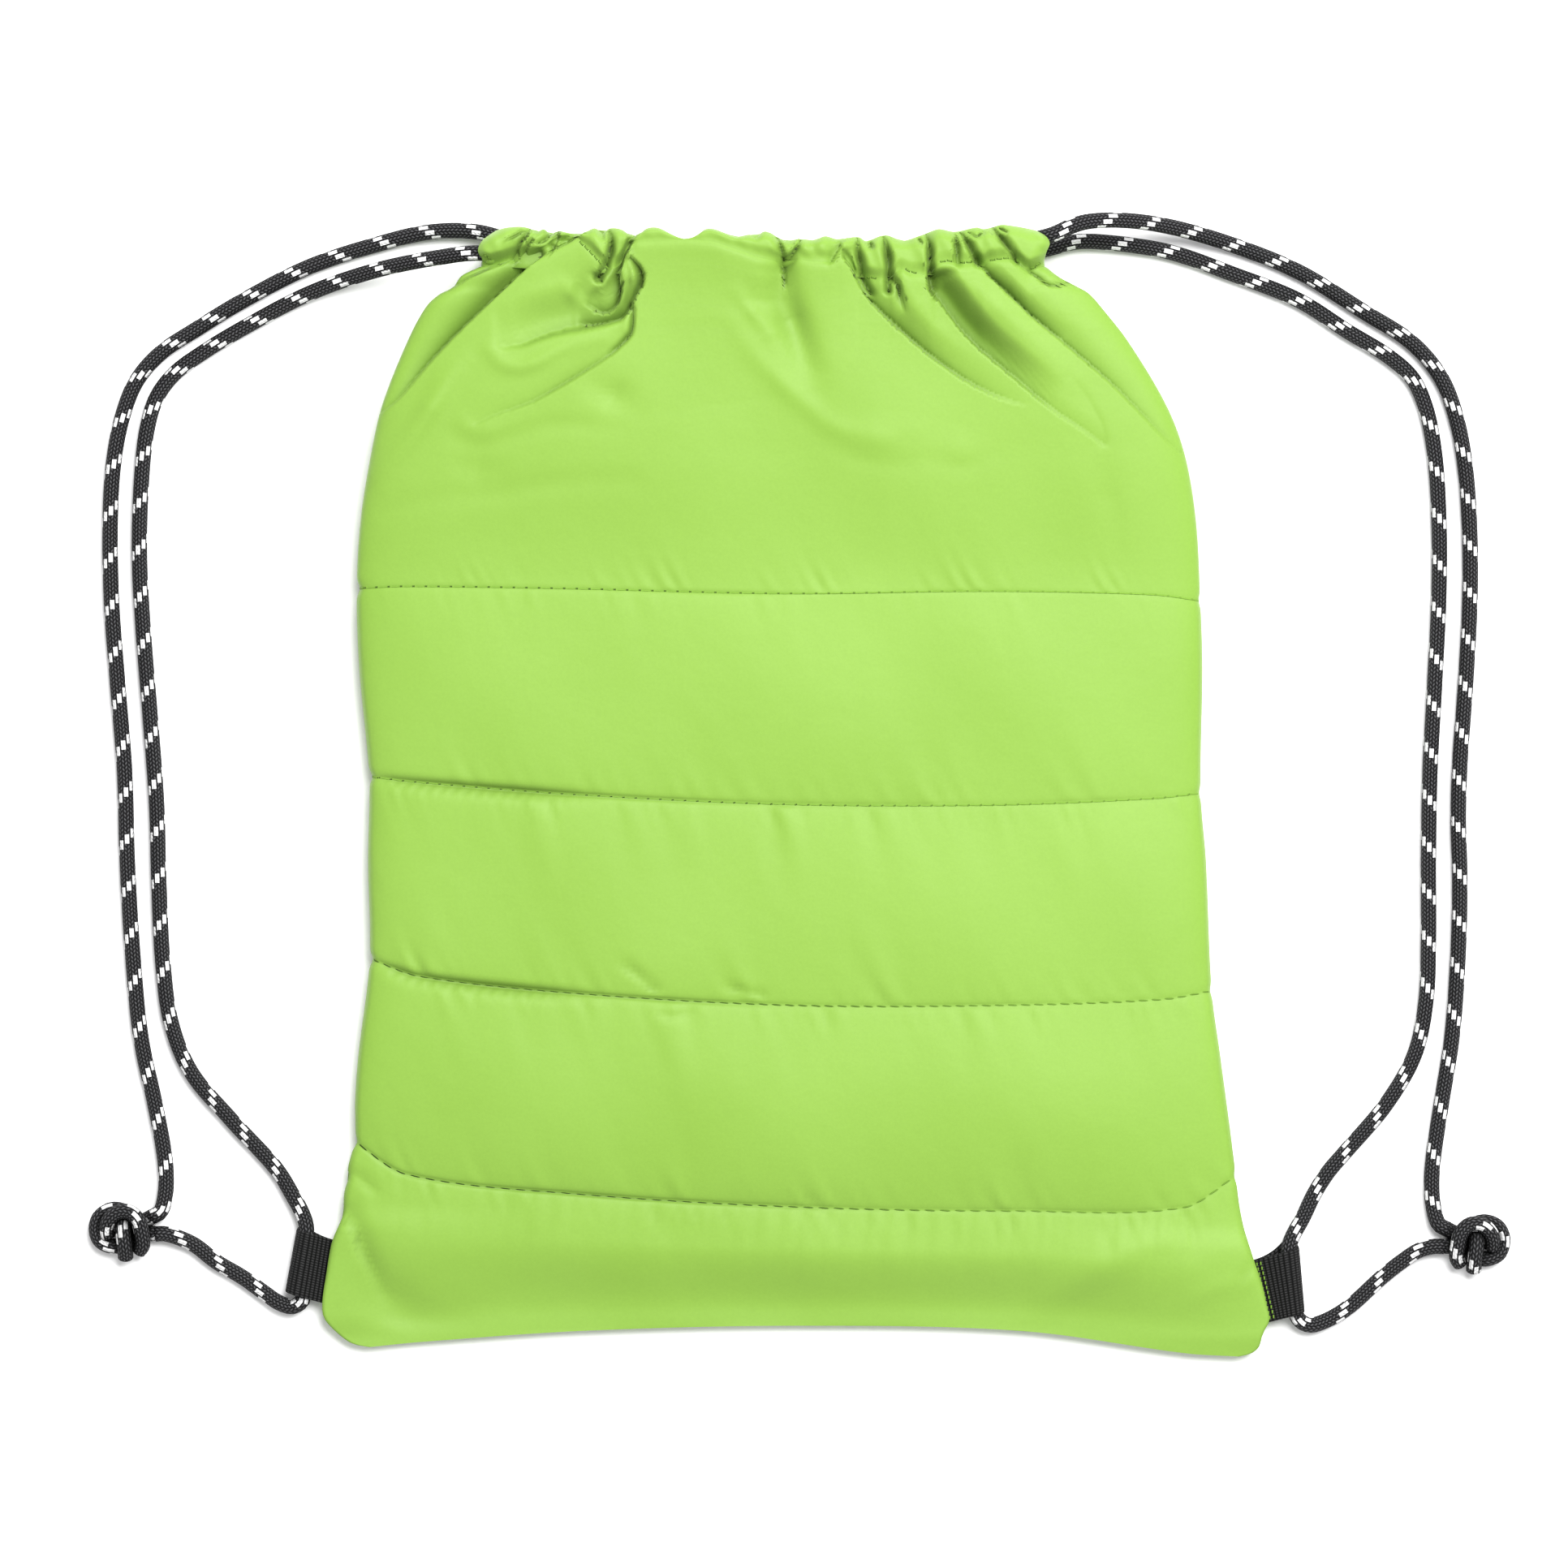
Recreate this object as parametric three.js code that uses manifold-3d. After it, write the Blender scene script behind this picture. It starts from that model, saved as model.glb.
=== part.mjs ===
// A quilted drawstring bag, empty and lying flat on its back, with its mouth towards +Y.
// Millimetres, +Z up. The origin is under the middle of the bag, on the surface it lies on.
import * as THREE from "three";
import { mergeVertices } from "three/addons/utils/BufferGeometryUtils.js";
import Module from "manifold-3d";

const wasm = await Module();
wasm.setup();

// Driving sizes
const clearance = 0.4; // between pieces that meet
const seamGap = 0.3; // between the two panels along a side seam
const sewnEdge = 1.6; // one panel at its sewn edge
const stitchedWall = 2.2; // one panel along a line of quilting
const paddedWall = 6.5; // one panel, cloth and wadding, at the crown of a channel
const gatheredWall = 2.6; // one panel where it is gathered at the neck
const backStitchZ = 2.5; // height of the back's lines of quilting above the surface
const backPuff = 5; // how far the back's channels would sag below those lines
const backFold = { pitch: 24, height: 4, reach: 55 };

const casing = { centreX: -12.2, halfRun: 90, bend: 12, halfHeight: 8, halfDepth: 6, wall: 1.1 };
const ruffle = { frontPitch: 11, backPitch: 17, depth: 1.5, wave: 0.7 };
const cord = { diameter: 6, sides: 8, steps: 106, exitRadius: 4.2 };
const knot = { ring: 6.3, tube: 2.85, turns: 2, lobes: 3, height: 6.3, reach: 13.4, lowZ: 4.6 };
const tab = { width: 24, depth: 15, webbing: 1.5, sewnIn: 6, loopRadius: 4.1, sag: 1.9, eye: 2.6 };
const tabPocket = { full: 16, faded: 26 }; // how far the seam opens either side of a tab's middle

// The side seams in plan, from the bottom corners to the neck.
const leftSeam = [
  { y: -211.9, x: -164.8 },
  { y: -206, x: -176.5 },
  { y: -196, x: -180.6 },
  { y: -181, x: -178.7 },
  { y: -162, x: -173.1 },
  { y: -134, x: -168.8 },
  { y: -100, x: -166.9 },
  { y: -63.7, x: -162.6 },
  { y: -26, x: -163.2 },
  { y: 6, x: -162.8 },
  { y: 48, x: -166.6 },
  { y: 78, x: -167.5 },
  { y: 104, x: -166 },
  { y: 129, x: -162 },
  { y: 148, x: -157.6 },
  { y: 172, x: -148 },
  { y: 185, x: -141.5 },
  { y: 195.5, x: -128.5 },
  { y: 199, x: -119.8 },
];
const rightSeam = [
  { y: -215.5, x: 174 },
  { y: -212, x: 177.7 },
  { y: -203, x: 181.2 },
  { y: -196, x: 179.6 },
  { y: -181, x: 175.6 },
  { y: -162, x: 170.7 },
  { y: -146.8, x: 168.5 },
  { y: -100, x: 162 },
  { y: -75.8, x: 159 },
  { y: -26, x: 157 },
  { y: -0.2, x: 155 },
  { y: 48, x: 155.8 },
  { y: 73.3, x: 155 },
  { y: 104, x: 153.3 },
  { y: 129, x: 149 },
  { y: 148, x: 141.8 },
  { y: 172, x: 127.3 },
  { y: 185, x: 117 },
  { y: 195.8, x: 101.8 },
  { y: 199.3, x: 95.3 },
];

// The lines sewn across the bag, from the bottom hem up to the neck. y is read at seven stations across
// the width, sideZ is the side seam's height, rise is how far the middle of the front stands above it,
// square is how boxy the cross-section is, wall is the panel's thickness on the line, and puff is how
// far the channel above the line swells.
const stations = [-1, -0.88, -0.5, 0, 0.5, 0.88, 1];
const sewnLines = [
  {
    name: "bottom hem",
    y: [-211.9, -210, -205.5, -203.5, -205.7, -214.4, -215.5],
    sideZ: 7,
    rise: 0,
    square: 3,
    wall: sewnEdge,
    puff: 8.5,
  },
  {
    name: "fourth line",
    y: [-133.8, -145.9, -153.3, -158.3, -159.8, -158.6, -146.8],
    sideZ: 9,
    rise: 9,
    square: 3,
    wall: stitchedWall,
    puff: 7.5,
  },
  {
    name: "third line",
    y: [-63.7, -70.2, -76.7, -81.1, -81.1, -78.9, -75.8],
    sideZ: 10,
    rise: 9,
    square: 3,
    wall: stitchedWall,
    puff: 7.5,
  },
  {
    name: "second line",
    y: [6, 3.9, -0.8, -4.5, -4.7, -2.3, -0.2],
    sideZ: 10,
    rise: 9,
    square: 3,
    wall: stitchedWall,
    puff: 7.5,
  },
  {
    name: "first line",
    y: [78, 78.6, 77.7, 75.8, 76.7, 75.5, 73.3],
    sideZ: 11,
    rise: 9,
    square: 3,
    wall: stitchedWall,
    puff: 6,
  },
  {
    name: "neck",
    y: [199, 198.4, 196.8, 195.3, 195.9, 198.1, 199.3],
    sideZ: 18,
    rise: 14,
    square: 5,
    wall: gatheredWall,
    puff: 0,
  },
];
const yoke = sewnLines.length - 2; // the section between the first line and the neck

// Folds that run down the front from the gathers: where each starts and ends, how far it stands out, or
// in where negative, and half its width at both ends.
const frontFolds = [
  { fromX: -105, fromY: 199, toX: -142, toY: 178, height: 3, fromWidth: 8, toWidth: 12 },
  { fromX: -88, fromY: 199, toX: -156, toY: 150, height: -4, fromWidth: 5, toWidth: 9 },
  { fromX: -64, fromY: 197, toX: -86, toY: 176, height: -6.5, fromWidth: 7, toWidth: 11 },
  { fromX: -56, fromY: 197, toX: -66, toY: 160, height: 4, fromWidth: 6, toWidth: 16 },
  { fromX: -31, fromY: 199, toX: -31, toY: 125, height: 4, fromWidth: 22, toWidth: 55 },
  { fromX: -4, fromY: 197, toX: 8, toY: 148, height: -7, fromWidth: 5, toWidth: 20 },
  { fromX: 14, fromY: 199, toX: 84, toY: 116, height: 4, fromWidth: 10, toWidth: 28 },
  { fromX: 27, fromY: 196, toX: 68, toY: 148, height: -6, fromWidth: 5, toWidth: 15 },
  { fromX: 42, fromY: 197, toX: 108, toY: 128, height: 4, fromWidth: 7, toWidth: 20 },
  { fromX: 54, fromY: 197, toX: 99, toY: 148, height: -6.5, fromWidth: 6, toWidth: 15 },
  { fromX: 69, fromY: 199, toX: 130, toY: 141, height: 3.5, fromWidth: 7, toWidth: 18 },
  { fromX: 82, fromY: 199, toX: 115, toY: 169, height: -4, fromWidth: 5, toWidth: 11 },
];

// Each tab: the middle of its sewn edge and the way it points, in degrees from +X.
const tabs = [
  { name: "left_tab", x: -178.8, y: -183.4, turn: 171 },
  { name: "right_tab", x: 177.9, y: -191.1, turn: 13.5 },
];

const { lerp, clamp, smoothstep, degToRad } = THREE.MathUtils;

// A smooth curve through the points (at, value).
function curveThrough(at, value) {
  const last = at.length - 1;
  const slope = at.map((_, i) => {
    const before = Math.max(i - 1, 0);
    const after = Math.min(i + 1, last);
    return (value[after] - value[before]) / (at[after] - at[before]);
  });
  return (x) => {
    const next = at.findIndex((a) => a > x);
    const i = next < 0 ? last - 1 : Math.max(next - 1, 0);
    const span = at[i + 1] - at[i];
    const t = clamp((x - at[i]) / span, 0, 1);
    const s = 1 - t;
    const ends = value[i] * s * s * (1 + 2 * t) + value[i + 1] * t * t * (1 + 2 * s);
    return ends + span * (slope[i] * t * s * s - slope[i + 1] * t * t * s);
  };
}

const seamCurve = (seam) =>
  curveThrough(
    seam.map((p) => p.y),
    seam.map((p) => p.x),
  );
const leftX = seamCurve(leftSeam);
const rightX = seamCurve(rightSeam);
const lineY = sewnLines.map((line) => curveThrough(stations, line.y));

// A place on the bag is (u, v): u runs from -1 at the left seam to 1 at the right, and v counts the
// sewn lines up from the bottom hem.
function sectionAt(v) {
  const k = Math.min(Math.floor(v), yoke);
  return { k, t: v - k };
}

function between(v, column) {
  const { k, t } = sectionAt(v);
  return lerp(sewnLines[k][column], sewnLines[k + 1][column], t);
}

function planAt(u, v) {
  const { k, t } = sectionAt(v);
  const y = (station) => lerp(lineY[k](station), lineY[k + 1](station), t);
  const left = leftX(y(-1));
  const right = rightX(y(1));
  return { x: lerp(left, right, (u + 1) / 2), y: y(u) };
}

// How full the cross-section is at u: 0 on the side seams, 1 in the middle.
function crownAt(u, v) {
  const square = between(v, "square");
  return Math.pow(Math.max(0, 1 - Math.pow(Math.abs(u), square)), 1 / square);
}

const swell = (t) => Math.pow(Math.sin(Math.PI * clamp(t, 0, 1)), 0.6);

function puffAt(v) {
  const { k, t } = sectionAt(v);
  return swell(t) * sewnLines[k].puff;
}

// The side seam opens a little to take in the sewn end of a tab.
function gapAt(u, y) {
  const nearest = u < 0 ? tabs[0] : tabs[1];
  const off = Math.abs(y - nearest.y);
  const opened = 1 - smoothstep(off, tabPocket.full, tabPocket.faded);
  return seamGap + (2 * tab.webbing + 2 * seamGap) * opened * Math.pow(Math.abs(u), 4);
}

function wallAt(u, v) {
  const { t, k } = sectionAt(v);
  const padding = k === yoke ? swell(t) * (1 - t) : swell(t);
  const middle = lerp(between(v, "wall"), paddedWall, padding);
  return lerp(sewnEdge, middle, crownAt(u, v));
}

function foldsAt(x, y) {
  return frontFolds.reduce((sum, f) => {
    const run = new THREE.Vector2(f.toX - f.fromX, f.toY - f.fromY);
    const here = new THREE.Vector2(x - f.fromX, y - f.fromY);
    const along = clamp(here.dot(run) / run.lengthSq(), 0, 1);
    const off = here.distanceTo(run.multiplyScalar(along));
    const width = lerp(f.fromWidth, f.toWidth, along);
    return sum + f.height * Math.pow(1 - along, 1.3) * Math.exp(-((off / width) ** 2));
  }, 0);
}

function frontZ(u, v) {
  const { x, y } = planAt(u, v);
  const height = between(v, "rise") + puffAt(v) + foldsAt(x, y);
  return between(v, "sideZ") + gapAt(u, y) / 2 + sewnEdge + crownAt(u, v) * height;
}

function backZ(u, v) {
  const { x, y } = planAt(u, v);
  const edge = between(v, "sideZ") - gapAt(u, y) / 2 - sewnEdge;
  const neckY = lineY[yoke + 1](u);
  const gathered = 1 - clamp((neckY - y) / backFold.reach, 0, 1);
  const fold = backFold.height * gathered * (0.5 + 0.5 * Math.cos((2 * Math.PI * x) / backFold.pitch));
  const hemmed = v < 1 ? Math.pow(v, 0.4) : 1;
  const drop = (edge - backStitchZ) * hemmed + (backPuff * puffAt(v)) / sewnLines[1].puff;
  return Math.max(0, edge - crownAt(u, v) * (drop - fold));
}

// Collects shared points and triangles into a closed geometry.
class Skin {
  points = [];
  faces = [];
  point(x, y, z) {
    this.points.push(x, y, z);
    return this.points.length / 3 - 1;
  }
  face(a, b, c) {
    this.faces.push(a, b, c);
  }
  quad(a, b, c, d) {
    this.face(a, b, c);
    this.face(a, c, d);
  }
  geometry() {
    const made = new THREE.BufferGeometry();
    made.setAttribute("position", new THREE.Float32BufferAttribute(this.points, 3));
    made.setIndex(this.faces);
    return made;
  }
}

// Fills the strip between two rows of points that may hold different numbers of points.
function fillStrip(skin, low, high, side, flip) {
  const face = (a, b, c) => (flip ? skin.face(a, c, b) : skin.face(a, b, c));
  let i = 0;
  let j = 0;
  while (i < low.length - 1 || j < high.length - 1) {
    const nextLow = i < low.length - 1 ? low[i + 1].u : Infinity;
    const nextHigh = j < high.length - 1 ? high[j + 1].u : Infinity;
    if (nextLow <= nextHigh) {
      face(low[i][side], low[i + 1][side], high[j][side]);
      i += 1;
    } else {
      face(low[i][side], high[j + 1][side], high[j][side]);
      j += 1;
    }
  }
}

const hemRows = [0, 0.05, 0.2, 0.36, 0.56, 0.76, 0.92];
const channelRows = [0, 0.08, 0.3, 0.7, 0.92];
const yokeRows = [0, 0.06, 0.18, 0.34, 0.5, 0.65, 0.79, 0.9, 1];
const gatheredFrom = 0.18; // the part of the yoke where the finer columns of the gathers begin

function panelRows() {
  const rows = hemRows.slice();
  for (let k = 1; k < yoke; k += 1) rows.push(...channelRows.map((t) => k + t));
  return rows.concat(yokeRows.map((t) => yoke + t));
}

// Columns crowd towards the side seams, where the section turns over.
function columnsOf(count, crowding) {
  return Array.from({ length: count + 1 }, (_, i) => {
    const even = (2 * i) / count - 1;
    return lerp(even, Math.sin((Math.PI / 2) * even), crowding);
  });
}

// A panel is a wall between an upper and a lower skin that meet along a sewn edge all round.
function panelGeometry(upperZ, lowerZ, bodyColumns, gatherColumns) {
  const skin = new Skin();
  const rows = panelRows().map((v) => {
    const fine = v >= yoke + gatheredFrom;
    return columnsOf(fine ? gatherColumns : bodyColumns, fine ? 0.45 : 0.85).map((u) => {
      const { x, y } = planAt(u, v);
      return { u, upper: skin.point(x, y, upperZ(u, v)), lower: skin.point(x, y, lowerZ(u, v)) };
    });
  });
  for (let r = 0; r < rows.length - 1; r += 1) {
    const low = rows[r];
    const high = rows[r + 1];
    fillStrip(skin, low, high, "upper", false);
    fillStrip(skin, low, high, "lower", true);
    skin.quad(low[0].upper, high[0].upper, high[0].lower, low[0].lower);
    skin.quad(high.at(-1).upper, low.at(-1).upper, low.at(-1).lower, high.at(-1).lower);
  }
  const hem = rows[0];
  const top = rows.at(-1);
  for (let j = 0; j < hem.length - 1; j += 1)
    skin.quad(hem[j].lower, hem[j + 1].lower, hem[j + 1].upper, hem[j].upper);
  for (let j = 0; j < top.length - 1; j += 1)
    skin.quad(top[j + 1].lower, top[j].lower, top[j].upper, top[j + 1].upper);
  return skin.geometry();
}

const frontPanel = () =>
  panelGeometry(frontZ, (u, v) => frontZ(u, v) - wallAt(u, v), 16, 34);
const backPanel = () =>
  panelGeometry((u, v) => backZ(u, v) + wallAt(u, v), backZ, 12, 20);

// Solids for cutting and joining
function solidOf(geometry) {
  const bare = geometry.clone();
  bare.deleteAttribute("normal");
  bare.deleteAttribute("uv");
  const merged = mergeVertices(bare, 1e-4);
  return new wasm.Manifold(
    new wasm.Mesh({
      numProp: 3,
      vertProperties: merged.getAttribute("position").array,
      triVerts: new Uint32Array(merged.index.array),
    }),
  );
}

function geometryOf(solid) {
  const mesh = solid.getMesh();
  const made = new THREE.BufferGeometry();
  made.setAttribute("position", new THREE.Float32BufferAttribute(mesh.vertProperties, 3));
  made.setIndex(Array.from(mesh.triVerts));
  return made;
}

// The casing's middle line is a flat ring standing on edge: along the front, round the right end, back
// along the back and round the left end.
const casingZ = casing.halfDepth + casing.bend;

function casingLine(along) {
  const run = 2 * casing.halfRun;
  const turn = Math.PI * casing.bend;
  const loop = 2 * (run + turn);
  const at = ((along % loop) + loop) % loop;
  const onBack = at >= run + turn;
  const local = onBack ? at - run - turn : at;
  const sense = onBack ? -1 : 1;
  const bent = Math.max(0, local - run) / casing.bend;
  const out = { x: sense * Math.sin(bent), z: sense * Math.cos(bent) };
  const x = sense * (Math.min(local, run) - casing.halfRun) + casing.bend * out.x;
  return { x: casing.centreX + x, z: casingZ + casing.bend * out.z, out };
}

// Stations round the casing: so many along the front, along the back and round each end.
function casingStations(front, back, end) {
  const run = 2 * casing.halfRun;
  const turn = Math.PI * casing.bend;
  const spread = (from, length, count) =>
    Array.from({ length: count }, (_, i) => from + (length * i) / count);
  return [
    ...spread(0, run, front),
    ...spread(run, turn, end),
    ...spread(run + turn, run, back),
    ...spread(2 * run + turn, turn, end),
  ];
}

function casingY(x) {
  const left = leftSeam.at(-1).x;
  const right = rightSeam.at(-1).x;
  const u = clamp((2 * (x - left)) / (right - left) - 1, -1, 1);
  return lineY[yoke + 1](u) + clearance + casing.halfHeight;
}

// One skin of the casing, with halfHeight up and down and halfDepth out and in, ruffled if asked.
function casingSkin(stops, around, halfHeight, halfDepth, ruffled) {
  const skin = new Skin();
  const rounded = (c) => Math.sign(c) * Math.pow(Math.abs(c), 0.65);
  for (const along of stops) {
    const { x, z, out } = casingLine(along);
    const pitch = out.z < 0 ? ruffle.backPitch : ruffle.frontPitch;
    const phase = (2 * Math.PI * along) / pitch;
    const fullness = 0.9 + 0.55 * Math.sin(phase) + 0.35 * Math.sin(0.43 * phase + 1);
    const bulge = ruffled * ruffle.depth * fullness;
    const wave = ruffled * ruffle.wave * (0.6 + 0.6 * Math.sin(0.61 * phase + 2));
    for (let j = 0; j < around; j += 1) {
      const turn = (2 * Math.PI * (j + 0.5)) / around;
      const outward = rounded(Math.cos(turn));
      const upward = rounded(Math.sin(turn));
      const reach = outward * halfDepth + Math.max(0, outward) * bulge;
      const rise = upward * halfHeight + Math.max(0, upward) * wave;
      skin.point(x + out.x * reach, casingY(x) + rise, Math.max(0, z + out.z * reach));
    }
  }
  for (let i = 0; i < stops.length; i += 1) {
    const next = (i + 1) % stops.length;
    for (let j = 0; j < around; j += 1) {
      const up = (j + 1) % around;
      skin.quad(i * around + j, next * around + j, next * around + up, i * around + up);
    }
  }
  return skin.geometry();
}

// A cord leaves the casing through a round opening in its end.
function cordExit(side, y, z) {
  const length = 2 * (casing.bend + casing.halfDepth);
  const hole = new THREE.CylinderGeometry(cord.exitRadius, cord.exitRadius, length, 12);
  hole.rotateZ(Math.PI / 2);
  hole.translate(casing.centreX + side * (casing.halfRun + length / 2), y, z);
  return solidOf(hole);
}

const cordOffset = cord.diameter / 2 + clearance / 2; // the two cords lie side by side in the casing
const cordSlack = 0.2; // how much wider than the casing's middle line a cord turns
const tabZ = between(0.35, "sideZ"); // height of the side seams where the tabs are sewn in
const frontRunZ = casingZ + casing.bend;
const backRunZ = casingZ - casing.bend;
const leftEndY = casingY(-Infinity);
const rightEndY = casingY(Infinity);

function drawstringCasing() {
  const inside = casing.halfHeight - casing.wall;
  const outer = solidOf(
    casingSkin(casingStations(48, 24, 9), 8, casing.halfHeight, casing.halfDepth, 1),
  );
  const tunnel = solidOf(
    casingSkin(casingStations(6, 6, 8), 8, inside, casing.halfDepth - casing.wall, 0),
  );
  const exits = [
    cordExit(-1, leftEndY - cordOffset, frontRunZ),
    cordExit(-1, leftEndY + cordOffset, backRunZ),
    cordExit(1, rightEndY + cordOffset, frontRunZ),
    cordExit(1, rightEndY - cordOffset, backRunZ),
  ];
  return geometryOf(exits.reduce((left, exit) => left.subtract(exit), outer.subtract(tunnel)));
}

// Where a cord lies in the casing: a run along one wall, the turn at the far end and the run back along
// the other wall. side is the end it turns at, and level is +1 where it first lies nearer the mouth.
function throughCasing(side, fromBack, level) {
  const runs = [-0.98, -0.7, -0.35, 0, 0.35, 0.7, 0.98].map((part) => side * part * casing.halfRun);
  const near = (x, wall, height) => {
    const at = casing.centreX + x;
    return [at, casingY(at) + height * cordOffset, casingZ + wall * casing.bend];
  };
  const wall = fromBack ? -1 : 1;
  const out = runs.map((x) => near(x, wall, level));
  const back = runs.map((x) => near(x, -wall, -level)).reverse();
  const bend = [30, 60, 90, 120, 150].map((degrees) => {
    const turn = degToRad(degrees);
    const wide = casing.bend + cordSlack;
    const at = casing.centreX + side * (casing.halfRun + wide * Math.sin(turn));
    const height = level * Math.cos(turn) * cordOffset;
    return [at, casingY(at) + height, casingZ + wall * wide * Math.cos(turn)];
  });
  return [...out, ...bend, ...back];
}

// Where a cord goes through the eye of a tab, from above it to below it.
function throughTab(place) {
  const turn = degToRad(place.turn);
  const reach = tab.depth - tab.loopRadius - tab.webbing;
  const down = place.x < 0 ? 1 : -1;
  return [-0.62, -0.2, 0.2, 0.56].map((part) => {
    const along = part * tab.width * down;
    return [
      place.x + reach * Math.cos(turn) - along * Math.sin(turn),
      place.y + reach * Math.sin(turn) + along * Math.cos(turn),
      tabZ - tab.sag,
    ];
  });
}

// A cord's end points at the middle of its knot and stops just outside it.
function atKnot(place, degrees) {
  const turn = degToRad(degrees);
  return [knot.reach, knot.reach + 4].map((away) => [
    place.x + away * Math.cos(turn),
    place.y + away * Math.sin(turn),
    knot.lowZ,
  ]);
}

const leftKnot = { x: -257.6, y: -168.6, turn: 20, outer: 42, inner: 0, tail: -96 };
const rightKnot = { x: 261, y: -172.6, turn: 40, outer: 138, inner: 180, tail: -84 };

// The cords' middle lines, chosen by hand outside the casing: from one end at the knot up the outer
// strand, through the casing, down the inner strand, through the tab and back to the knot.
const leftRoute = [
  ...atKnot(leftKnot, leftKnot.outer),
  [-241.4, -149, 3.4],
  [-241, -138, 3.1],
  [-244.4, -118.9, 3.1],
  [-249.7, -94, 3.1],
  [-252.8, -63, 3.1],
  [-255, -26, 3.1],
  [-256, 8, 3.1],
  [-258.7, 42, 3.1],
  [-261, 73, 3.1],
  [-261.5, 104, 3.1],
  [-260.2, 126, 3.1],
  [-257, 143, 3.1],
  [-251.6, 157, 3.1],
  [-242.6, 167.6, 3.1],
  [-228.3, 177.2, 3.1],
  [-210.6, 188, 3.1],
  [-185.8, 200.7, 3.1],
  [-161, 209, 3.3],
  [-140, 212.6, 4.8],
  [-122, 211.4, 6],
  ...throughCasing(1, true, 1),
  [-120, 204.2, 29.6],
  [-137, 204.2, 24],
  [-161, 199.2, 12],
  [-185.8, 190.5, 4.6],
  [-210.6, 177.5, 3.1],
  [-225.5, 168.5, 3.1],
  [-237, 160, 3.1],
  [-243.8, 150.8, 3.1],
  [-247.5, 138.4, 3.1],
  [-249.7, 116.7, 3.1],
  [-250.3, 89, 3.1],
  [-248.8, 61, 3.1],
  [-246.3, 30, 3.1],
  [-243.8, -4, 3.1],
  [-242.9, -35, 3.1],
  [-241.3, -66, 3.1],
  [-238.2, -88, 3.1],
  [-230.8, -106.5, 3.1],
  [-215.3, -125, 3.1],
  [-197.9, -143.7, 3.1],
  [-189.4, -156.1, 4],
  ...throughTab(tabs[0]),
  [-194.6, -201.6, 4.6],
  [-201.4, -203, 3.6],
  [-207.4, -196.4, 3.2],
  [-213.6, -187.6, 3.1],
  [-221, -179.4, 3.1],
  [-230, -171.9, 3.5],
  ...atKnot(leftKnot, leftKnot.inner).reverse(),
];
const rightRoute = [
  ...atKnot(rightKnot, rightKnot.outer),
  [244.6, -151.4, 3.4],
  [243.8, -140, 3.1],
  [246.9, -118.9, 3.1],
  [250.9, -94, 3.1],
  [253.1, -66, 3.1],
  [254, -35, 3.1],
  [253.4, -10, 3.1],
  [254, 11, 3.1],
  [256.2, 42, 3.1],
  [257.8, 73, 3.1],
  [257.8, 98, 3.1],
  [256.2, 123, 3.1],
  [253.4, 140, 3.1],
  [249, 154, 3.1],
  [243.8, 163, 3.1],
  [234.8, 172.5, 3.1],
  [217.2, 183.7, 3.1],
  [192.4, 198.9, 3.1],
  [167.6, 209, 3.6],
  [142.8, 216.2, 11],
  [124.2, 218, 20],
  [110, 215.2, 27],
  [97, 211, 29.8],
  ...throughCasing(-1, false, 1),
  [97, 204.6, 6],
  [118, 207.6, 5],
  [142.8, 206.9, 3.3],
  [167.6, 197.9, 3.1],
  [192.4, 188, 3.1],
  [211, 176.2, 3.1],
  [227.1, 166.3, 3.1],
  [235.8, 158.3, 3.1],
  [241, 146.8, 3.1],
  [244.4, 129, 3.1],
  [246, 104, 3.1],
  [246, 76, 3.1],
  [244.4, 42, 3.1],
  [242.6, 8, 3.1],
  [242, -26, 3.1],
  [242, -57, 3.1],
  [241, -80, 3.1],
  [236.7, -100, 3.1],
  [225.8, -119, 3.1],
  [210, -137.5, 3.1],
  [199.2, -151.7, 3.1],
  [190.4, -163.8, 4],
  ...throughTab(tabs[1]),
  [195, -208, 4.6],
  [201.8, -208.6, 3.6],
  [208.4, -202, 3.2],
  [215.6, -193.6, 3.1],
  [223.4, -186.5, 3.1],
  [231.1, -179.8, 3.2],
  [238, -175, 4],
  ...atKnot(rightKnot, rightKnot.inner).reverse(),
];

function ring(radius, sides) {
  const outline = new THREE.Shape();
  for (let i = 0; i < sides; i += 1) {
    const turn = (2 * Math.PI * (i + 0.5)) / sides;
    const at = [radius * Math.cos(turn), radius * Math.sin(turn)];
    if (i === 0) outline.moveTo(...at);
    else outline.lineTo(...at);
  }
  return outline;
}

function tubeAlong(route, radius, sides, steps) {
  const points = route.map((p) => new THREE.Vector3(...p));
  const path = new THREE.CatmullRomCurve3(points, false, "centripetal");
  path.arcLengthDivisions = 2000;
  return new THREE.ExtrudeGeometry(ring(radius, sides), { steps, extrudePath: path });
}

const cordGeometry = (route) => tubeAlong(route, cord.diameter / 2, cord.sides, cord.steps);

// An overhand knot drawn tight, with the two strands that enter it and one short tail.
function knotGeometry(place) {
  const body = new THREE.TorusKnotGeometry(knot.ring, knot.tube, 30, 5, knot.turns, knot.lobes);
  body.rotateZ(degToRad(place.turn));
  body.translate(place.x, place.y, knot.height);
  const middle = [place.x, place.y, knot.lowZ];
  const stubs = [place.outer, place.inner, place.tail].map((degrees) => {
    const turn = degToRad(degrees);
    const away = knot.reach - clearance;
    const end = [place.x + away * Math.cos(turn), place.y + away * Math.sin(turn), knot.lowZ];
    return solidOf(tubeAlong([middle, end], cord.diameter / 2, cord.sides, 1));
  });
  return geometryOf(stubs.reduce((joined, stub) => joined.add(stub), solidOf(body)));
}

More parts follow.
